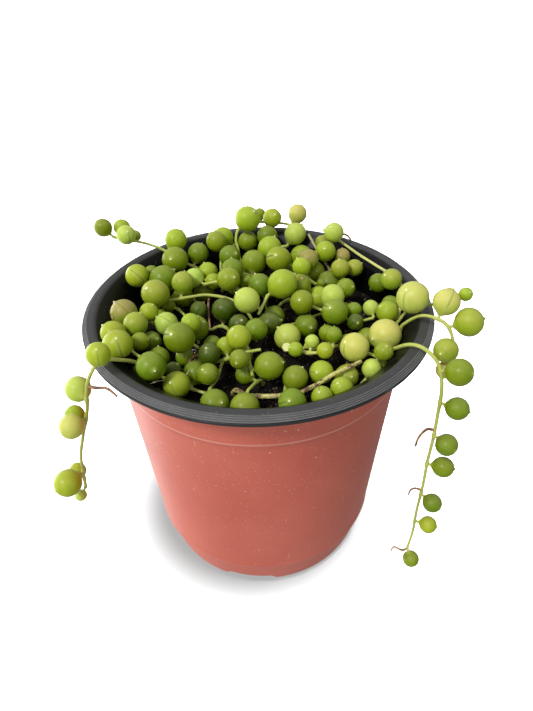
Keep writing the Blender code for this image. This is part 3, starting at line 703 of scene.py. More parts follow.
def pearlShape():
    sides, rings = pearl["sides"], pearl["rings"]
    section = []
    for ring in range(rings + 1):
        angle = math.pi * ring / rings
        tip = pearl["tip"] * math.exp(-((math.pi - angle) / pearl["tipSpread"]) ** 2)
        neck = pearl["neck"] * math.exp(-(angle / pearl["neckSpread"]) ** 2)
        section.append((math.sin(angle), -math.cos(angle) + tip - neck))
    mesh = meshFrom("pearl_shape", turnedPoints(section, sides), faces=turnedFaces(rings + 1, sides))
    across = mesh.uv_layers.new(name="UVMap").data
    for face in mesh.polygons:
        rows = [0 if v == 0 else rings if v > sides * (rings - 1) else 1 + (v - 1) // sides
                for v in face.vertices]
        columns = [(v - 1) % sides for v in face.vertices]
        poles = [row in (0, rings) for row in rows]
        free = [column for column, pole in zip(columns, poles) if not pole]
        wraps = max(free) - min(free) > 1
        columns = [column + sides if wraps and column == 0 else column for column in columns]
        middle = sum(column for column, pole in zip(columns, poles) if not pole) / len(free)
        for loop, column, row, pole in zip(face.loop_indices, columns, rows, poles):
            across[loop].uv = ((middle if pole else column) / sides, row / rings)
    return helperObject("pearl_shape", mesh)


def stalkShape():
    section = [(0, -1), (1.5, -1), (1.15, -0.9), (0.95, -0.8), (1.0, -0.7), (1.3, -0.58), (1.3, -0.4),
               (0, -0.4)]
    points = turnedPoints(section, 8)
    return helperObject("stalk_shape", meshFrom("stalk_shape", points, faces=turnedFaces(len(section), 8)))


def pearlFinish():
    f = Finish("pearl_skin", (0.32, 0.44, 0.06))
    tone = f.attribute("tone")
    blush = f.attribute("blush")
    blushShare = f.attribute("blush", 3)
    slit, scar, seed = f.split(f.attribute("marks", 1))
    u, v, none = f.split(f.wire("ShaderNodeUVMap", {"uv_map": "UVMap"}))
    place = f.place()
    upward = f.split(f.wire("ShaderNodeTexCoord", output=1))[2]
    turn = (u - 0.5) * (2 * math.pi)
    ringSize = (v * math.pi).sine()
    mottle = f.noise(place, 420.0, 3.0)
    fine = f.noise(place, 2600.0, 2.0)
    around = f.join(turn.cosine() + seed * 9, turn.sine(), v * 0.3 + seed)
    veins = f.rise(f.noise(around, 5.5, 3.0, 0.6), 0.46, 0.66)
    wander = f.noise(f.join(v * 3 + seed * 7, 0.0, 0.0), 4.0)
    gap = abs(turn + (wander - 0.5) * 0.12) * ringSize
    line = f.fall(gap, 0.035, 0.085) * f.rise(v, 0.3, 0.42) * f.fall(v, 0.9, 0.97) * slit
    window = f.fall(gap, 0.08, 0.42) * f.rise(v, 0.2, 0.5) * slit

    skin = f.mix((mottle - 0.35) * 0.9, f.mix(0.22, tone, (0.05, 0.09, 0.01)), tone)
    skin = f.mix(veins * 0.1, skin, f.mix(0.3, tone, (0.60, 0.68, 0.10)))
    skin = f.mix(window * 0.28, skin, (0.60, 0.70, 0.20))
    skin = f.mix(blushShare * f.rise(upward + (mottle - 0.5) * 0.9, -0.15, 0.85), skin, blush)
    skin = f.mix(line * 0.82, skin, (0.035, 0.075, 0.008))
    # Painted sheen: the upward-facing side is washed paler and whiter, standing in for the reflection of the
    # bright surroundings.
    paintedTopSheen = f.rise(upward + (mottle - 0.5) * 0.7, 0.2, 1.1) * 0.25
    skin = f.mix(paintedTopSheen, skin, f.mix(0.35, tone, (0.70, 0.70, 0.34)))
    skin = f.mix(f.fall(v, 0.04, 0.16) * 0.6, skin, (0.48, 0.50, 0.12))
    skin = f.mix(f.rise(v, 0.88, 0.98) * 0.22, skin, (0.60, 0.66, 0.16))
    skin = f.mix(f.rise(v, 0.968, 0.982) * 0.9, skin, (0.82, 0.80, 0.52))
    scarTurn = (turn + 1.3) * ringSize
    scarRise = (v - 0.6) * math.pi
    scarGap = (scarTurn * scarTurn + scarRise * scarRise) ** 0.5 + (mottle - 0.5) * 0.18
    ring = f.rise(scarGap, 0.12, 0.2) * f.fall(scarGap, 0.22, 0.32) * scar
    skin = f.mix(ring * 0.75, skin, (0.16, 0.10, 0.03))
    skin = f.mix(f.fall(scarGap, 0.08, 0.2) * scar * 0.6, skin, (0.45, 0.38, 0.16))
    specks = f.fall(f.cells(place, 1500.0), 0.08, 0.22) * f.rise(f.noise(place, 150.0), 0.42, 0.62)
    skin = f.mix(specks * 0.45, skin, f.mix(0.4, tone, (0.62, 0.62, 0.20)))
    dents = fine * 0.3 + mottle * 0.5 - line * 1.6 + window * 0.3 - ring * 0.7
    return f.finish({
        "Base Color": skin,
        "Roughness": 0.26 + fine * 0.10 + ring * 0.2,
        "Normal": f.bump(dents, 0.25, 0.0002),
        "Subsurface Weight": 0.35,
        "Subsurface Radius": (1.0, 1.0, 0.15),
        "Subsurface Scale": 0.002,
        "IOR": 1.42,
        "Specular IOR Level": 0.22,
    })


def stemFinish(name, fresh, patch, dry, dryShare):
    f = Finish(name, fresh)
    place = f.place()
    broad = f.noise(place, 60.0, 2.0)
    mottle = f.noise(place, 420.0, 4.0, 0.6)
    fine = f.noise(place, 2400.0, 3.0, 0.6)
    skin = f.mix(f.rise(broad, 0.35, 0.65), fresh, patch)
    skin = f.mix(f.rise(mottle, 0.62 - dryShare * 0.35, 0.8 - dryShare * 0.3), skin, dry)
    skin = f.mix(f.fall(mottle, 0.25, 0.42) * 0.5, skin, tuple(channel * 0.5 for channel in patch))
    specks = f.fall(f.cells(place, 1300.0 - dryShare * 700), 0.12, 0.26)
    skin = f.mix(specks * (0.25 + dryShare * 0.9), skin, tuple(channel * 0.35 for channel in dry))
    return f.finish({
        "Base Color": skin,
        "Roughness": 0.46 + fine * 0.25,
        "Normal": f.bump(fine * 0.6 + mottle - specks * 0.4, 0.5 + dryShare * 0.4, 0.0003),
        "Subsurface Weight": 0.08,
        "Subsurface Scale": 0.0006,
    })


# One tree makes every strand from its line of stem points and its loose pearl points.
def strandMaker():
    maker = Maker("pearl_strand", {
        "Pearl shape": ("Object", None), "Stalk shape": ("Object", None),
        "Stem sides": ("Int", 10), "Stem step": ("Float", 0.0005), "Stem roughness": ("Float", 0.1),
        "Pearl finish": ("Material", None), "Stem finish": ("Material", None)})
    entry = maker.entry.outputs
    parts = maker.add("GeometryNodeSeparateGeometry", {"domain": "POINT"}, {
        "Geometry": entry["Geometry"], "Selection": maker.named("isPearl", "BOOLEAN")})
    grown = []
    for shape, size, finish in (("Pearl shape", "pearlSize", "Pearl finish"),
                                ("Stalk shape", "stalkSize", "Stem finish")):
        template = maker.add("GeometryNodeObjectInfo", inputs={"Object": entry[shape]})
        placed = maker.add("GeometryNodeInstanceOnPoints", inputs={
            "Points": parts.outputs["Selection"], "Instance": template.outputs["Geometry"],
            "Rotation": maker.named("pearlTurn", "FLOAT_VECTOR"),
            "Scale": maker.named(size, "FLOAT_VECTOR")})
        grown.append(maker.dressed(placed.outputs["Instances"], finish))
    line = maker.add("GeometryNodeMeshToCurve", inputs={"Mesh": parts.outputs["Inverted"]})
    line = maker.add("GeometryNodeCurveSplineType", {"spline_type": "CATMULL_ROM"}, {
        "Curve": line.outputs["Curve"]})
    line = maker.add("GeometryNodeResampleCurve", {"mode": "LENGTH"}, {
        "Curve": line.outputs["Curve"], "Length": entry["Stem step"]})
    rough = maker.add("ShaderNodeTexNoise", inputs={"Scale": 420.0, "Detail": 2.0})
    shift = maker.add("ShaderNodeMath", {"operation": "SUBTRACT"}, {0: rough.outputs["Fac"], 1: 0.5})
    share = maker.add("ShaderNodeMath", {"operation": "MULTIPLY"}, {
        0: shift.outputs[0], 1: entry["Stem roughness"]})
    share = maker.add("ShaderNodeMath", {"operation": "ADD"}, {0: share.outputs[0], 1: 1.0})
    radius = maker.add("ShaderNodeMath", {"operation": "MULTIPLY"}, {
        0: share.outputs[0], 1: maker.named("stemRadius", "FLOAT")})
    outline = maker.add("GeometryNodeCurvePrimitiveCircle", inputs={
        "Resolution": entry["Stem sides"], "Radius": 1.0})
    tube = maker.add("GeometryNodeCurveToMesh", inputs={
        "Curve": line.outputs["Curve"], "Profile Curve": outline.outputs["Curve"],
        "Scale": radius.outputs[0], "Fill Caps": True})
    grown.append(maker.dressed(tube.outputs["Mesh"], "Stem finish"))
    whole = maker.add("GeometryNodeJoinGeometry", inputs={"Geometry": grown})
    maker.tree.links.new(whole.outputs[0], maker.exit.inputs[0])
    return maker


def turnFor(axis, front, draw):
    up = Vector(axis)
    if front:
        towards = Vector((0, -0.75, 0.65))
        towards.rotate(Matrix.Rotation(draw.uniform(-0.7, 0.7), 3, up))
    else:
        towards = Vector(unit(draw.normal(size=3)))
    side = (towards - up * towards.dot(up)).normalized()
    basis = Matrix((side, up.cross(side), up)).transposed()
    return tuple(basis.to_euler())


def strandSource(name, stem, radii, pearls):
    count = len(stem)
    points = np.concatenate([stem, [p["centre"] for p in pearls]]) if pearls else stem
    mesh = meshFrom(name, np.asarray(points) * mm, edges=[(k, k + 1) for k in range(count - 1)])
    blank = {"turn": (0, 0, 0), "size": (1, 1, 1), "stalk": (1, 1, 1), "tone": (0, 0, 0, 1),
             "blush": (0, 0, 0, 0), "marks": (0, 0, 0)}
    setValues(mesh, "isPearl", "BOOLEAN", [False] * count + [True] * len(pearls))
    setValues(mesh, "stemRadius", "FLOAT", list(np.asarray(radii) * mm) + [0.0] * len(pearls))
    for label, key, kind in (("pearlTurn", "turn", "FLOAT_VECTOR"), ("pearlSize", "size", "FLOAT_VECTOR"),
                             ("stalkSize", "stalk", "FLOAT_VECTOR"), ("tone", "tone", "FLOAT_COLOR"),
                             ("blush", "blush", "FLOAT_COLOR"), ("marks", "marks", "FLOAT_VECTOR")):
        setValues(mesh, label, kind, [blank[key]] * count + [p[key] for p in pearls])
    return addPiece(name + "_line", mesh)


helperValues = ("isPearl", "stemRadius", "pearlTurn", "pearlSize", "stalkSize")


def growStrand(maker, name, stem, radii, pearls, values):
    source = strandSource(name, stem, radii, pearls)
    piece = maker.make(name, source, values)
    dropValues(piece.data, helperValues)
    bpy.data.objects.remove(source, do_unlink=True)
    return piece


def pearlFor(stemPoint, centre, radius, letter, draw):
    axis = unit(centre - stemPoint)
    reach = float(np.linalg.norm(centre - stemPoint))
    skin, blush, blushShare = skins[letter.lower()]
    shade = draw.uniform(*pearl["shade"])
    tint = (shade * draw.uniform(*pearl["redTint"]), shade, shade)
    long = draw.uniform(*pearl["squeeze"])
    size = np.array([1, 1, long]) / long ** 0.3 * radius * mm
    slit = draw.uniform(0.8, 1.0) if letter.isupper() else max(0.0, draw.uniform(-0.35, 0.6))
    scar = 1.0 if draw.uniform() < pearl["scarShare"] else 0.0
    return {
        "centre": centre, "turn": turnFor(axis, letter.isupper(), draw), "size": tuple(size),
        "stalk": (pearl["stalkWidth"] * mm, pearl["stalkWidth"] * mm, reach * mm),
        "tone": (*(a * b for a, b in zip(skin, tint)), 1.0),
        "blush": (*blush, blushShare * draw.uniform(0.7, 1.2)),
        "marks": (slit, scar, draw.uniform()),
    }


def makeStrands():
    stem, owner, thickness, seat, radius, centre, tones = settle()
    print("layout settled:", len(centre), "pearls")
    maker = strandMaker()
    draw = np.random.default_rng(pearl["seed"])
    shapes = {"Pearl shape": pearlShape(), "Stalk shape": stalkShape(), "Pearl finish": pearlFinish()}
    fresh = stemFinish("stem_skin", (0.52, 0.56, 0.13), (0.38, 0.45, 0.07), (0.50, 0.38, 0.17), 0.15)
    finishes = {
        "strand_east_rim": stemFinish(
            "pale_stem", (0.66, 0.65, 0.27), (0.54, 0.57, 0.15), (0.48, 0.36, 0.16), 0.2),
        "cut_stub": stemFinish("woody_stem", (0.52, 0.45, 0.27), (0.38, 0.33, 0.17), (0.24, 0.15, 0.08), 0.4),
        "old_stem": stemFinish("dry_stem", (0.70, 0.63, 0.24), (0.52, 0.50, 0.14), (0.12, 0.06, 0.028), 0.58),
    }
    for index, name in enumerate(strands):
        samples = np.flatnonzero(owner == index)
        own = np.flatnonzero(owner[seat] == index)
        radii = np.linspace(1, pearl["stemTip"], len(samples)) * thickness[samples] * pearl["stemScale"]
        for k in own:
            near = abs(samples - seat[k])
            radii = radii * (1 + pearl["nodeSwell"] * np.exp(-(near / pearl["nodeSpread"]) ** 2))
        pearls = [pearlFor(stem[seat[k]], centre[k], radius[k], tones[k], draw) for k in own]
        piece = growStrand(maker, name + "_grown", stem[samples], radii, pearls,
                           {**shapes, "Stem finish": finishes.get(name, fresh)})
        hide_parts(name)
        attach(piece, "root")
    print("strands grown:", len(strands))
    return maker, shapes


# The pot: a turned section with a black inner skin that also covers the rolled lip.
def potSection():
    lip, inner, top = pot["lipRadius"], pot["rimInnerRadius"], pot["height"]
    low = top - pot["lipDrop"]
    edge = pot["lipWall"]
    upper = np.interp(
        pot["upperRing"], (pot["footRing"], low), (pot["footRingRadius"], pot["shoulderRadius"]))
    floorRadius = innerRadius(pot["floor"])
    black = [(0, pot["floor"]), (floorRadius - 2, pot["floor"]), (floorRadius, pot["floor"] + 0.8),
             (pot["footRingRadius"] - pot["wall"], pot["footRing"])]
    for height in np.linspace(pot["footRing"] + 6, pot["throatHeight"] - 0.6, 14):
        black.append((innerRadius(height), height))
    black += [(pot["throatRadius"] + 0.25, pot["throatHeight"] + 0.1), (inner - 1.1, top - 1.0),
              (inner - 0.45, top - 0.35), (inner + 0.1, top - 0.06), (inner + 0.7, top)]
    black += [(inner + 1.5, top - 0.03), (lip - 1.95, top - 0.02), (lip - 1.72, top - 0.06)]
    for ridge in range(pot["ridges"]):
        outer = lip - 1.75 + ridge * pot["ridgeStep"]
        crest = ridgeLevel(ridge)
        black += [(outer, crest - 0.16), (outer + 0.14, crest), (outer + 0.3, crest),
                  (outer + 0.4, crest - 0.2)]
    black += [(lip - 0.12, top - 1.62), (lip - 0.3, top - 1.74),
              (lip - 0.3, top - 1.86), (lip - 0.08, top - 1.98),
              (lip, top - 2.15), (lip, top - 2.6), (lip - 0.06, low + 0.12),
              (lip - 0.3, low), (lip - edge + 0.15, low), (lip - edge, low + 0.2),
              (lip - edge, top - edge - 0.3), (lip - edge - 0.3, top - edge)]
    shoulder = pot["shoulderRadius"]
    red = [(inner + 0.9, top - edge), (inner + 0.5, top - edge - 0.15), (shoulder + 0.8, low - 0.35),
           (shoulder + 0.2, low - 0.8), (shoulder, low - 1.4)]
    for height in np.linspace(low - 4, pot["upperRing"] + 1.4, 5):
        share = (height - pot["upperRing"]) / (low - pot["upperRing"])
        red.append((upper + 0.4 + share * (shoulder - upper - 0.4), height))
    ring = pot["upperRing"]
    red += [(upper + 0.42, ring + 0.45), (upper + 0.36, ring + 0.2), (upper + 0.06, ring - 0.12),
            (upper - 0.01, ring - 0.4)]
    foot = pot["footRing"]
    for height in np.linspace(ring - 4, foot + 2, 20):
        red.append((np.interp(height, (foot, ring), (pot["footRingRadius"], upper)), height))
    red += [(pot["footRingRadius"] + 0.26, foot + 0.4), (pot["footRingRadius"] + 0.2, foot + 0.15),
            (pot["footRingRadius"] - 0.16, foot - 0.15), (pot["footRingRadius"] - 0.25, foot - 0.45)]
    for height in np.linspace(foot - 2, 1.2, 5):
        red.append((np.interp(height, (0.6, foot), (pot["footRadius"], pot["footRingRadius"] - 0.2)), height))
    foot = pot["footRadius"]
    red += [(foot, 0.6), (foot - 0.1, 0.3), (foot - 0.3, 0.1), (foot - 0.6, 0), (foot - 8, 0), (0, 0)]
    return black, red


def notchCutter(azimuth):
    bm = bmesh.new()
    bmesh.ops.create_cube(bm, size=1)
    for vert in bm.verts:
        top = vert.co.z > 0
        halfWidth = pot["notchWidth"] / 2 - (pot["notchHeight"] * pot["notchSlope"] if top else 0)
        vert.co.x = (pot["footRadius"] + (pot["notchReach"] if vert.co.x > 0 else -pot["notchDepth"])) * mm
        vert.co.y = math.copysign(halfWidth, vert.co.y) * mm
        vert.co.z = (pot["notchHeight"] if top else -1) * mm
    corners = [edge for edge in bm.edges if all(vert.co.z > 0 for vert in edge.verts)
               and abs(edge.verts[0].co.y - edge.verts[1].co.y) < 1e-6]
    bmesh.ops.bevel(bm, geom=corners, offset=pot["notchBevel"] * mm, segments=3, affect="EDGES", profile=0.5)
    bmesh.ops.transform(bm, matrix=Matrix.Rotation(math.radians(azimuth), 4, "Z"), verts=bm.verts)
    mesh = bpy.data.meshes.new("notch")
    bm.to_mesh(mesh)
    bm.free()
    return helperObject("notch", mesh)


def terracottaFinish():
    f = Finish("terracotta_plastic", (0.53, 0.13, 0.09))
    place = f.place()
    broad = f.noise(place, 22.0, 3.0)
    cloud = f.noise(place, 120.0, 4.0, 0.6)
    grain = f.noise(place, 1900.0, 3.0, 0.6)
    skin = f.mix(f.rise(broad, 0.3, 0.7), (0.485, 0.090, 0.052), (0.555, 0.120, 0.074))
    skin = f.mix(f.rise(cloud, 0.55, 0.8) * 0.25, skin, (0.62, 0.20, 0.14))
    skin = f.mix((grain - 0.3) * 0.25, skin, (0.40, 0.085, 0.055))
    dust = f.fall(f.cells(place, 640.0), 0.07, 0.2) * f.rise(f.noise(place, 75.0), 0.3, 0.6)
    skin = f.mix(dust * 0.5, skin, (0.80, 0.46, 0.34))
    crumbs = f.fall(f.cells(place, 190.0), 0.03, 0.06)
    skin = f.mix(crumbs * 0.8, skin, (0.85, 0.62, 0.52))
    pits = f.fall(f.cells(f.scaled(place, (1.0, 1.0, 0.7)), 260.0), 0.03, 0.07)
    skin = f.mix(pits * 0.5, skin, (0.30, 0.05, 0.03))
    height = f.split(place)[2] * 1000
    scratch = f.rise(f.noise(f.scaled(place, (1.0, 1.0, 0.12)), 620.0, 2.0), 0.72, 0.78)
    skin = f.mix(scratch * f.rise(broad, 0.45, 0.6) * 0.25, skin, (0.75, 0.42, 0.34))
    # Painted highlight: pale lines along the upper ring's step and along the foot ring.
    rings = f.fall(abs(height - (pot["upperRing"] + 0.2)), 0.15, 0.85)
    rings = rings + f.fall(abs(height - pot["footRing"]), 0.12, 0.5)
    # Painted shade: a darker band just below the upper ring's step.
    under = f.fall(abs(height - (pot["upperRing"] - 1.2)), 0.3, 1.1)
    skin = f.mix(under * 0.3, skin, (0.40, 0.075, 0.045))
    skin = f.mix(rings * (0.35 + cloud * 0.5), skin, (0.80, 0.38, 0.31))
    foot = f.fall(height, 0.0, 9.0) * f.rise(cloud, 0.4, 0.65)
    skin = f.mix(foot * 0.35, skin, (0.36, 0.12, 0.07))
    return f.finish({
        "Base Color": skin,
        "Roughness": 0.42 + grain * 0.14 + dust * 0.2,
        "Normal": f.bump(grain * 0.4 + cloud * 0.6 + dust * 0.4 - pits * 0.5, 0.2, 0.0003),
    })


def ridgeLevel(ridge):
    return pot["height"] - 0.12 - ridge * pot["ridgeDrop"]


def blackFinish():
    f = Finish("black_plastic", (0.03, 0.03, 0.033))
    place = f.place()
    cloud = f.noise(place, 90.0, 4.0, 0.6)
    grain = f.noise(place, 2100.0, 3.0, 0.6)
    x, y, z = f.split(place)
    level = z * 1000
    radius = ((x * x + y * y) ** 0.5) * 1000
    # Painted shade: below the lip's inner edge the inside wall is made near-black, far darker than the lip's
    # top of the same plastic.
    lip = f.rise(radius, pot["rimInnerRadius"] - 1.1, pot["rimInnerRadius"] - 0.3)
    edge = f.rise(radius, pot["lipRadius"] - 1.9, pot["lipRadius"] - 1.6)
    skin = f.mix(lip, (0.0025, 0.0025, 0.003), (0.050, 0.051, 0.051))
    skin = f.mix(edge, skin, (0.058, 0.059, 0.060))
    skin = f.mix(f.rise(cloud, 0.5, 0.75) * lip * 0.3, skin, (0.085, 0.085, 0.088))
    # Painted highlight on the lip's ridge crests and painted shade in the grooves between them.
    crest = abs(level - ridgeLevel(0))
    for ridge in range(1, pot["ridges"]):
        crest = crest.smaller(abs(level - ridgeLevel(ridge)))
    skin = f.mix(f.fall(crest, 0.05, 0.14) * edge * (0.25 + cloud * 0.8), skin, (0.24, 0.24, 0.243))
    skin = f.mix(f.rise(crest, 0.15, 0.26) * edge * 0.75, skin, (0.012, 0.012, 0.012))
    dust = f.fall(f.cells(place, 560.0), 0.05, 0.12) * f.rise(f.noise(place, 80.0), 0.42, 0.58)
    skin = f.mix(dust * 0.6, skin, (0.30, 0.29, 0.28))
    scuff = f.rise(f.noise(f.scaled(place, (0.3, 0.3, 3.0)), 300.0, 3.0), 0.6, 0.72) * edge
    skin = f.mix(scuff * 0.35, skin, (0.16, 0.16, 0.16))
    return f.finish({
        "Base Color": skin,
        "Roughness": 0.3 + grain * 0.2 + dust * 0.25,
        "Normal": f.bump(grain * 0.4 + cloud * 0.5 + dust * 0.5, 0.22, 0.0003),
        "Specular IOR Level": 0.2,
    })


def makePot():
    black, red = potSection()
    section = [(float(r) * mm, float(h) * mm) for r, h in black + red]
    steps = pot["steps"]
    faces = [face[::-1] for face in turnedFaces(len(section), steps)]
    mesh = meshFrom("pot", turnedPoints(section, steps), faces=faces)
    blackFaces = len(black) * steps
    mesh.polygons.foreach_set("material_index", [int(k < blackFaces) for k in range(len(faces))])
    mesh.materials.append(terracottaFinish())
    mesh.materials.append(blackFinish())
    source = addPiece("pot_turned", mesh)
    for k in range(pot["notches"]):
        cut = source.modifiers.new("notch", "BOOLEAN")
        cut.operation = "DIFFERENCE"
        cut.solver = "EXACT"
        cut.object = notchCutter(pot["notchAzimuth"] + 360 / pot["notches"] * k)
    graph = bpy.context.evaluated_depsgraph_get()
    mesh = bpy.data.meshes.new_from_object(source.evaluated_get(graph), depsgraph=graph)
    source.modifiers.clear()
    bpy.data.objects.remove(source, do_unlink=True)
    mesh.shade_smooth()
    mesh.set_sharp_from_angle(angle=math.radians(50))
    piece = addPiece("pot_shell", mesh)
    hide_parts("pot")
    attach(piece, "root")
    print("pot made")


# The soil: a closed body with an uneven top, and crumbs, bark and perlite scattered on it.
def soilLevel(x, y):
    radius = math.hypot(x, y)
    broad = noise.noise(Vector((x, y, 3.0)) * 0.09)
    lumps = noise.noise(Vector((x, y, 9.0)) * 0.33)
    grit = noise.noise(Vector((x, y, 5.0)) * 0.9)
    edge = max(0.0, (radius - 44) / 7) ** 2
    return soil["height"] - 0.5 + soil["bumps"] * (0.5 * broad + 0.45 * lumps + 0.25 * grit) - 0.8 * edge


def soilFinish():
    f = Finish("potting_soil", (0.03, 0.02, 0.015))
    place = f.place()
    cloud = f.noise(place, 130.0, 4.0, 0.6)
    grain = f.noise(place, 900.0, 5.0, 0.65)
    shade = f.attribute("shade", 2)
    skin = f.mix(f.rise(cloud, 0.35, 0.65), (0.003, 0.0025, 0.002), (0.010, 0.007, 0.005))
    skin = f.mix(f.rise(grain, 0.55, 0.78) * 0.5, skin, (0.04, 0.026, 0.017))
    skin = f.mix(f.rise(shade, 0.8, 1.0) * 0.5, skin, (0.09, 0.052, 0.03))
    fibre = f.rise(f.noise(f.scaled(place, (1.0, 0.25, 1.0)), 1500.0, 2.0), 0.64, 0.72)
    skin = f.mix(fibre * 0.25, skin, (0.16, 0.11, 0.07))
    return f.finish({
        "Base Color": skin,
        "Roughness": 0.75 + grain * 0.2,
        "Normal": f.bump(grain + cloud * 0.5, 0.8, 0.0006),
        "Specular IOR Level": 0.15,
    })


def barkFinish():
    f = Finish("bark_bits", (0.12, 0.07, 0.04))
    place = f.place()
    shade = f.attribute("shade", 2)
    grain = f.noise(f.scaled(place, (1.0, 0.3, 0.6)), 1300.0, 4.0, 0.6)
    skin = f.mix(shade, (0.02, 0.012, 0.008), (0.12, 0.066, 0.035))
    skin = f.mix(f.rise(grain, 0.5, 0.7) * 0.5, skin, (0.20, 0.13, 0.08))
    return f.finish({
        "Base Color": skin,
        "Roughness": 0.7 + grain * 0.25,
        "Normal": f.bump(grain, 0.7, 0.0004),
    })


def perliteFinish():
    f = Finish("perlite", (0.75, 0.74, 0.70))
    place = f.place()
    shade = f.attribute("shade", 2)
    grain = f.noise(place, 1500.0, 4.0, 0.6)
    pits = f.fall(f.cells(place, 2300.0), 0.1, 0.4)
    skin = f.mix(shade, (0.60, 0.57, 0.50), (0.86, 0.85, 0.82))
    skin = f.mix(f.rise(grain, 0.52, 0.75) * 0.45, skin, (0.42, 0.35, 0.26))
    skin = f.mix(pits * 0.3, skin, (0.45, 0.42, 0.37))
    return f.finish({
        "Base Color": skin,
        "Roughness": 0.75 + grain * 0.2,
        "Normal": f.bump(grain - pits, 0.6, 0.0004),
    })


def bitsMaker():
    maker = Maker("scatter_bits", {
        "Shape": ("Object", None), "Bits per square metre": ("Float", 1000.0), "Seed": ("Int", 0),
        "Smallest": ("Float", 0.001), "Largest": ("Float", 0.002), "Flatness": ("Float", 1.0),
        "Finish": ("Material", None)})
    entry = maker.entry.outputs
    spread = maker.add("GeometryNodeDistributePointsOnFaces", inputs={
        "Mesh": entry["Geometry"], "Density": entry["Bits per square metre"], "Seed": entry["Seed"]})
    template = maker.add("GeometryNodeObjectInfo", inputs={"Object": entry["Shape"]})
    turn = maker.add("FunctionNodeRandomValue", {"data_type": "FLOAT_VECTOR"}, {
        0: (0.0, 0.0, 0.0), 1: (math.pi, math.pi, 2 * math.pi), "Seed": 3})
    size = maker.add("FunctionNodeRandomValue", {"data_type": "FLOAT"}, {2: 0.0, 3: 1.0, "Seed": 5})
    curve = maker.add("ShaderNodeMath", {"operation": "POWER"}, {0: size.outputs[1], 1: 2.2})
    length = maker.add("ShaderNodeMapRange", inputs={
        "Value": curve.outputs[0], "To Min": entry["Smallest"], "To Max": entry["Largest"]})
    shape = maker.add("FunctionNodeRandomValue", {"data_type": "FLOAT_VECTOR"}, {
        0: (0.7, 0.5, 0.45), 1: (1.0, 1.0, 0.9), "Seed": 9})
    flat = maker.add("ShaderNodeCombineXYZ", inputs={0: 1.0, 1: 1.0, 2: entry["Flatness"]})
    shape = maker.add("ShaderNodeVectorMath", {"operation": "MULTIPLY"}, {
        0: shape.outputs[0], 1: flat.outputs[0]})
    scale = maker.add("ShaderNodeVectorMath", {"operation": "SCALE"}, {
        0: shape.outputs[0], "Scale": length.outputs[0]})
    placed = maker.add("GeometryNodeInstanceOnPoints", inputs={
        "Points": spread.outputs["Points"], "Instance": template.outputs["Geometry"],
        "Rotation": turn.outputs[0], "Scale": scale.outputs[0]})
    shade = maker.add("FunctionNodeRandomValue", {"data_type": "FLOAT"}, {2: 0.0, 3: 1.0, "Seed": 7})
    kept = maker.add("GeometryNodeStoreNamedAttribute", {"data_type": "FLOAT", "domain": "INSTANCE"}, {
        "Geometry": placed.outputs[0], "Name": "shade", "Value": shade.outputs[1]})
    maker.tree.links.new(maker.dressed(kept.outputs[0], "Finish"), maker.exit.inputs[0])
    return maker


def bitShape(name, subdivisions, rough, seed):
    bm = bmesh.new()
    bmesh.ops.create_icosphere(bm, subdivisions=subdivisions, radius=0.5)
    for vert in bm.verts:
        vert.co *= 1 + rough * noise.noise(vert.co * 3.1 + Vector((seed, 0, 0)))
    mesh = bpy.data.meshes.new(name)
    bm.to_mesh(mesh)
    bm.free()
    return helperObject(name, mesh)


def makeSoil():
    radius = float(innerRadius(soil["height"])) - soil["fit"]
    rings, sides = soil["rings"], soil["sides"]
    section = [(0, 0)] + [(radius * ring / rings, 0) for ring in range(1, rings + 1)]
    low = pot["notchHeight"] + soil["fit"]
    wall = [(pot["footRingRadius"] - pot["wall"] - soil["fit"], pot["footRing"]),
            (float(innerRadius(low)) - soil["fit"], low), (0, low)]
    points = turnedPoints(section + wall, sides)
    surface = 1 + rings * sides
    for k in range(surface):
        x, y, none = points[k]
        points[k] = (x, y, soilLevel(x, y))
    faces = [face[::-1] for face in turnedFaces(len(section) + len(wall), sides)]
    body = addPiece("soil_body", meshFrom("soil_body", np.array(points) * mm, faces=faces))
    body.data.materials.append(soilFinish())
    body.data.shade_smooth()
    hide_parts("soil")
    pieces = [body]
    inset = (radius - soil["coverInset"]) / radius
    top = [(x * inset * mm, y * inset * mm, (z - soil["coverDrop"]) * mm) for x, y, z in points[:surface]]
    cover = helperObject("soil_cover", meshFrom(
        "soil_cover", top, faces=[face for face in faces if max(face) < surface]))
    maker = bitsMaker()
    for name, key, shape, flatness, finish in (
            ("soil_crumbs", "crumb", bitShape("crumb", 1, 0.5, 1), 1.0, body.data.materials[0]),
            ("soil_bark", "bark", bitShape("bark", 1, 0.6, 2), 0.45, barkFinish()),
            ("soil_perlite", "perlite", bitShape("perlite", 2, 0.6, 3), 1.0, perliteFinish())):
        low, high = soil[key + "Size"]
        pieces.append(maker.make(name, cover, {
            "Shape": shape, "Bits per square metre": soil[key + "PerCm2"] * 1e4, "Seed": soil["seed"],
            "Smallest": low * mm, "Largest": high * mm, "Flatness": flatness, "Finish": finish}))
    for piece in pieces:
        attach(piece, "root")
    print("soil made")


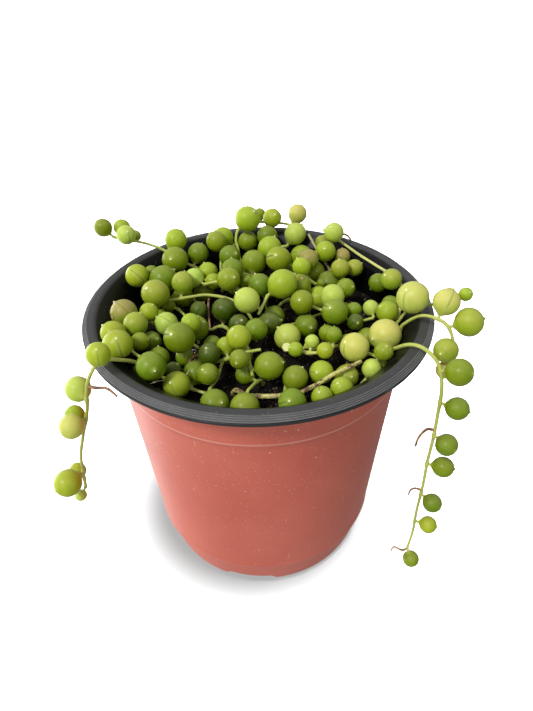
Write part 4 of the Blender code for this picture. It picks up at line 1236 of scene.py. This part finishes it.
# Dried roots, withered bracts and loose buds: each has a path, its radius at both ends, and a finish.
driedBits = {
    "back_hook": ([(33.2, 45.2, 108.5), (35.2, 46, 109.7), (37.2, 44.8, 109.5), (38.3, 43, 108.7)],
                  0.5, 0.38, "brown"),
    "west_root": ([(-50.6, -39.7, 103.6), (-48, -40.9, 103.9), (-45.3, -41, 103.8), (-43.6, -41.9, 103.7),
                   (-41.1, -44.2, 103.3)], 0.55, 0.35, "brown"),
    "soil_root": ([(-20, -20, 98.5), (-20.7, -23.1, 101), (-22.2, -25, 100.4), (-23, -27.6, 99.2),
                   (-24.8, -29.4, 98), (-27, -30, 96)], 0.5, 0.3, "brown"),
    "soil_hair": ([(-37, -31, 95.4), (-33.8, -32.9, 98.2), (-30.3, -35.1, 101), (-26.6, -36.1, 102.3),
                   (-23, -35.3, 102.4), (-21.6, -30.2, 101), (-20.8, -27, 99.5)], 0.24, 0.14, "pale"),
    "middle_root": ([(-18.9, 14, 99.5), (-18.8, 9, 99), (-18.4, 4.8, 97), (-18, 2, 94.6)],
                    0.45, 0.4, "brown"),
    "fall_hook_a": ([(55.9, -40, 81.7), (53.5, -39.7, 81.9), (51.4, -41.2, 81.5), (49.8, -43, 81),
                     (48.6, -45.3, 80.2)], 0.55, 0.35, "brown"),
    "fall_hook_b": ([(56.4, -40, 51.3), (54.4, -39.6, 51.9), (52.6, -40, 51.8), (51.3, -41.7, 51)],
                    0.5, 0.3, "brown"),
    "fall_hook_c": ([(56.4, -40, 15), (54.6, -40.6, 14.6), (52.6, -40, 15.2), (51.1, -39.6, 15.6),
                     (49.9, -41, 14.9)], 0.5, 0.3, "brown"),
    "arch_root": ([(60.6, -26.6, 104.6), (58.8, -26.4, 103.9), (57.6, -27.8, 103.2), (58.1, -30.8, 102.9)],
                  0.34, 0.18, "brown"),
    "twig_end": ([(64, -14, 115), (65.2, -15, 115.4), (66.3, -15.7, 115.2), (67, -15.2, 114.7)],
                 0.38, 0.16, "brown"),
    "pale_bud": ([(9.2, -17, 97.5), (9, -20, 100.2), (9, -22, 102.2), (9, -23.4, 104)], 0.6, 1.45, "bud"),
    "leaf_tip": ([(12.4, -43.6, 96.5), (12.7, -44.6, 98.6), (12.9, -45.5, 100.4), (13.4, -46.3, 102)],
                 1.25, 0.12, "green"),
}
bitSample = 0.8


def makeDriedBits(maker, shapes):
    finishes = {
        "brown": stemFinish("dried_root", (0.42, 0.24, 0.12), (0.30, 0.15, 0.08), (0.13, 0.06, 0.035), 0.4),
        "pale": stemFinish("pale_root", (0.66, 0.66, 0.34), (0.58, 0.57, 0.28), (0.60, 0.50, 0.30), 0.2),
        "bud": stemFinish("bud_skin", (0.68, 0.70, 0.28), (0.60, 0.64, 0.20), (0.72, 0.70, 0.36), 0.0),
        "green": stemFinish("leaf_tip_skin", (0.30, 0.42, 0.02), (0.24, 0.34, 0.02), (0.36, 0.40, 0.08), 0.1),
    }
    for name, (path, first, last, finish) in driedBits.items():
        line = smoothRoute(path, bitSample)
        radii = np.linspace(first, last, len(line))
        piece = growStrand(maker, name, line, radii, [], {**shapes, "Stem finish": finishes[finish]})
        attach(piece, "root")
    print("dried bits made:", len(driedBits))


view = {
    "lens": 27.04,
    "sensor": 36,
    "stand": (2.48, -159.68, 206.80),
    "right": (0.99971, -0.01479, -0.01901),
    "up": (0.02408, 0.61397, 0.78896),
}


def makeCamera():
    data = bpy.data.cameras.new("camera")
    data.lens = view["lens"]
    data.sensor_width = view["sensor"]
    camera = bpy.data.objects.new("camera", data)
    right, up = Vector(view["right"]), Vector(view["up"])
    place = Matrix((right, up, right.cross(up))).transposed().to_4x4()
    place.translation = Vector(view["stand"]) * mm
    camera.matrix_world = place
    bpy.context.scene.collection.objects.link(camera)
    bpy.context.scene.camera = camera


studio = {
    "world": (0.31, 0.95),    # how bright the surroundings are, away from and towards their bright side
    "bright": (-0.92, -0.2, 0.3),
    "floorSize": 3.0,
    "wallSteps": 64,
    "floorGlow": 0.42,
    "paper": (0.055, 0.057),
    "wallPlace": 0.97,       # how far out the wall stands, as a share of the floor's half width
    # Each light: where it comes from, its strength, its angle, and what it falls on.
    "lights": {
        "key": ((-0.55, -0.6, 1.0), 2.0, 12, "object"),
        "rim": ((-1.0, 0.5, 0.1), 0.85, 40, "object"),
        "bounce": ((-0.85, 0.5, -0.4), 1.75, 60, "object"),
        "table": ((0.05, -0.005, 1.0), 130.0, 21, "floor"),
    },
}


def makeStudio():
    world = bpy.data.worlds.new("studio")
    world.use_nodes = True
    nodes, links = world.node_tree.nodes, world.node_tree.links
    nodes["Background"].inputs["Color"].default_value = (1, 1, 1, 1)
    place = nodes.new("ShaderNodeTexCoord")
    facing = nodes.new("ShaderNodeVectorMath")
    facing.operation = "DOT_PRODUCT"
    facing.inputs[1].default_value = studio["bright"]
    glow = nodes.new("ShaderNodeMapRange")
    for key, value in (("From Min", -1.0), ("From Max", 1.0), ("To Min", studio["world"][0]),
                       ("To Max", studio["world"][1])):
        glow.inputs[key].default_value = value
    links.new(place.outputs["Generated"], facing.inputs[0])
    links.new(facing.outputs["Value"], glow.inputs["Value"])
    links.new(glow.outputs["Result"], nodes["Background"].inputs["Strength"])
    bpy.context.scene.world = world

    f = Finish("studio_floor", (1, 1, 1))
    paper = f.noise(f.place(), 30.0, 2.0)
    shade = f.mix(paper, *((level, level, level) for level in studio["paper"]))
    f.finish({"Base Color": shade, "Roughness": 0.9, "Emission Color": (1, 1, 1, 1),
              "Emission Strength": studio["floorGlow"], "Specular IOR Level": 0.0})
    size = studio["floorSize"]
    floor = addPiece("floor", meshFrom("floor", [(-size, -size, 0), (size, -size, 0), (size, size, 0),
                                                 (-size, size, 0)], faces=[(0, 1, 2, 3)]))
    floor.data.materials.append(f.material)
    floor.visible_diffuse = floor.visible_glossy = floor.visible_shadow = False

    # A plain bright wall and ceiling that is only seen, so that it changes no light on the plant.
    f = Finish("studio_backdrop", (0, 0, 0))
    f.finish({"Emission Color": (1, 1, 1, 1), "Emission Strength": 1.0, "Specular IOR Level": 0.0})
    turns = np.linspace(0, 2 * math.pi, studio["wallSteps"], endpoint=False)
    ring = np.stack([np.cos(turns), np.sin(turns)], axis=1) * size * studio["wallPlace"]
    points = [(*spot, height) for height in (-0.001, size) for spot in ring] + [(0, 0, size)]
    steps = studio["wallSteps"]
    faces = []
    for step in range(steps):
        after = (step + 1) % steps
        faces.append((after, step, steps + step, steps + after))
        faces.append((steps + after, steps + step, 2 * steps))
    wall = addPiece("backdrop", meshFrom("backdrop", points, faces=faces))
    wall.data.materials.append(f.material)
    wall.visible_diffuse = wall.visible_glossy = wall.visible_shadow = False

    groups = {}
    for name, state in (("object", "EXCLUDE"), ("floor", "INCLUDE")):
        groups[name] = bpy.data.collections.new(name + "_light")
        groups[name].objects.link(floor)
        groups[name].collection_objects[0].light_linking.link_state = state
    for name, (towards, strength, angle, falls) in studio["lights"].items():
        data = bpy.data.lights.new(name, "SUN")
        data.energy = strength
        data.angle = math.radians(angle)
        light = bpy.data.objects.new(name, data)
        light.matrix_world = Vector(towards).to_track_quat("Z", "Y").to_matrix().to_4x4()
        bpy.context.scene.collection.objects.link(light)
        light.light_linking.receiver_collection = groups[falls]
    print("studio set")


# Only the pot casts a shadow on the table.
def shadeFloor():
    blockers = bpy.data.collections.new("floor_shadow")
    for name in ("pot_shell", "soil_body"):
        blockers.objects.link(bpy.data.objects[name])
    bpy.data.objects["table"].light_linking.blocker_collection = blockers


bpy.context.scene.view_settings.view_transform = "Standard"
makeCamera()
makeStudio()
maker, shapes = makeStrands()
makePot()
makeSoil()
makeDriedBits(maker, shapes)
shadeFloor()
for helper in [obj for obj in bpy.data.objects if obj.hide_render and obj.name not in frame["nodes"]]:
    bpy.data.objects.remove(helper, do_unlink=True)
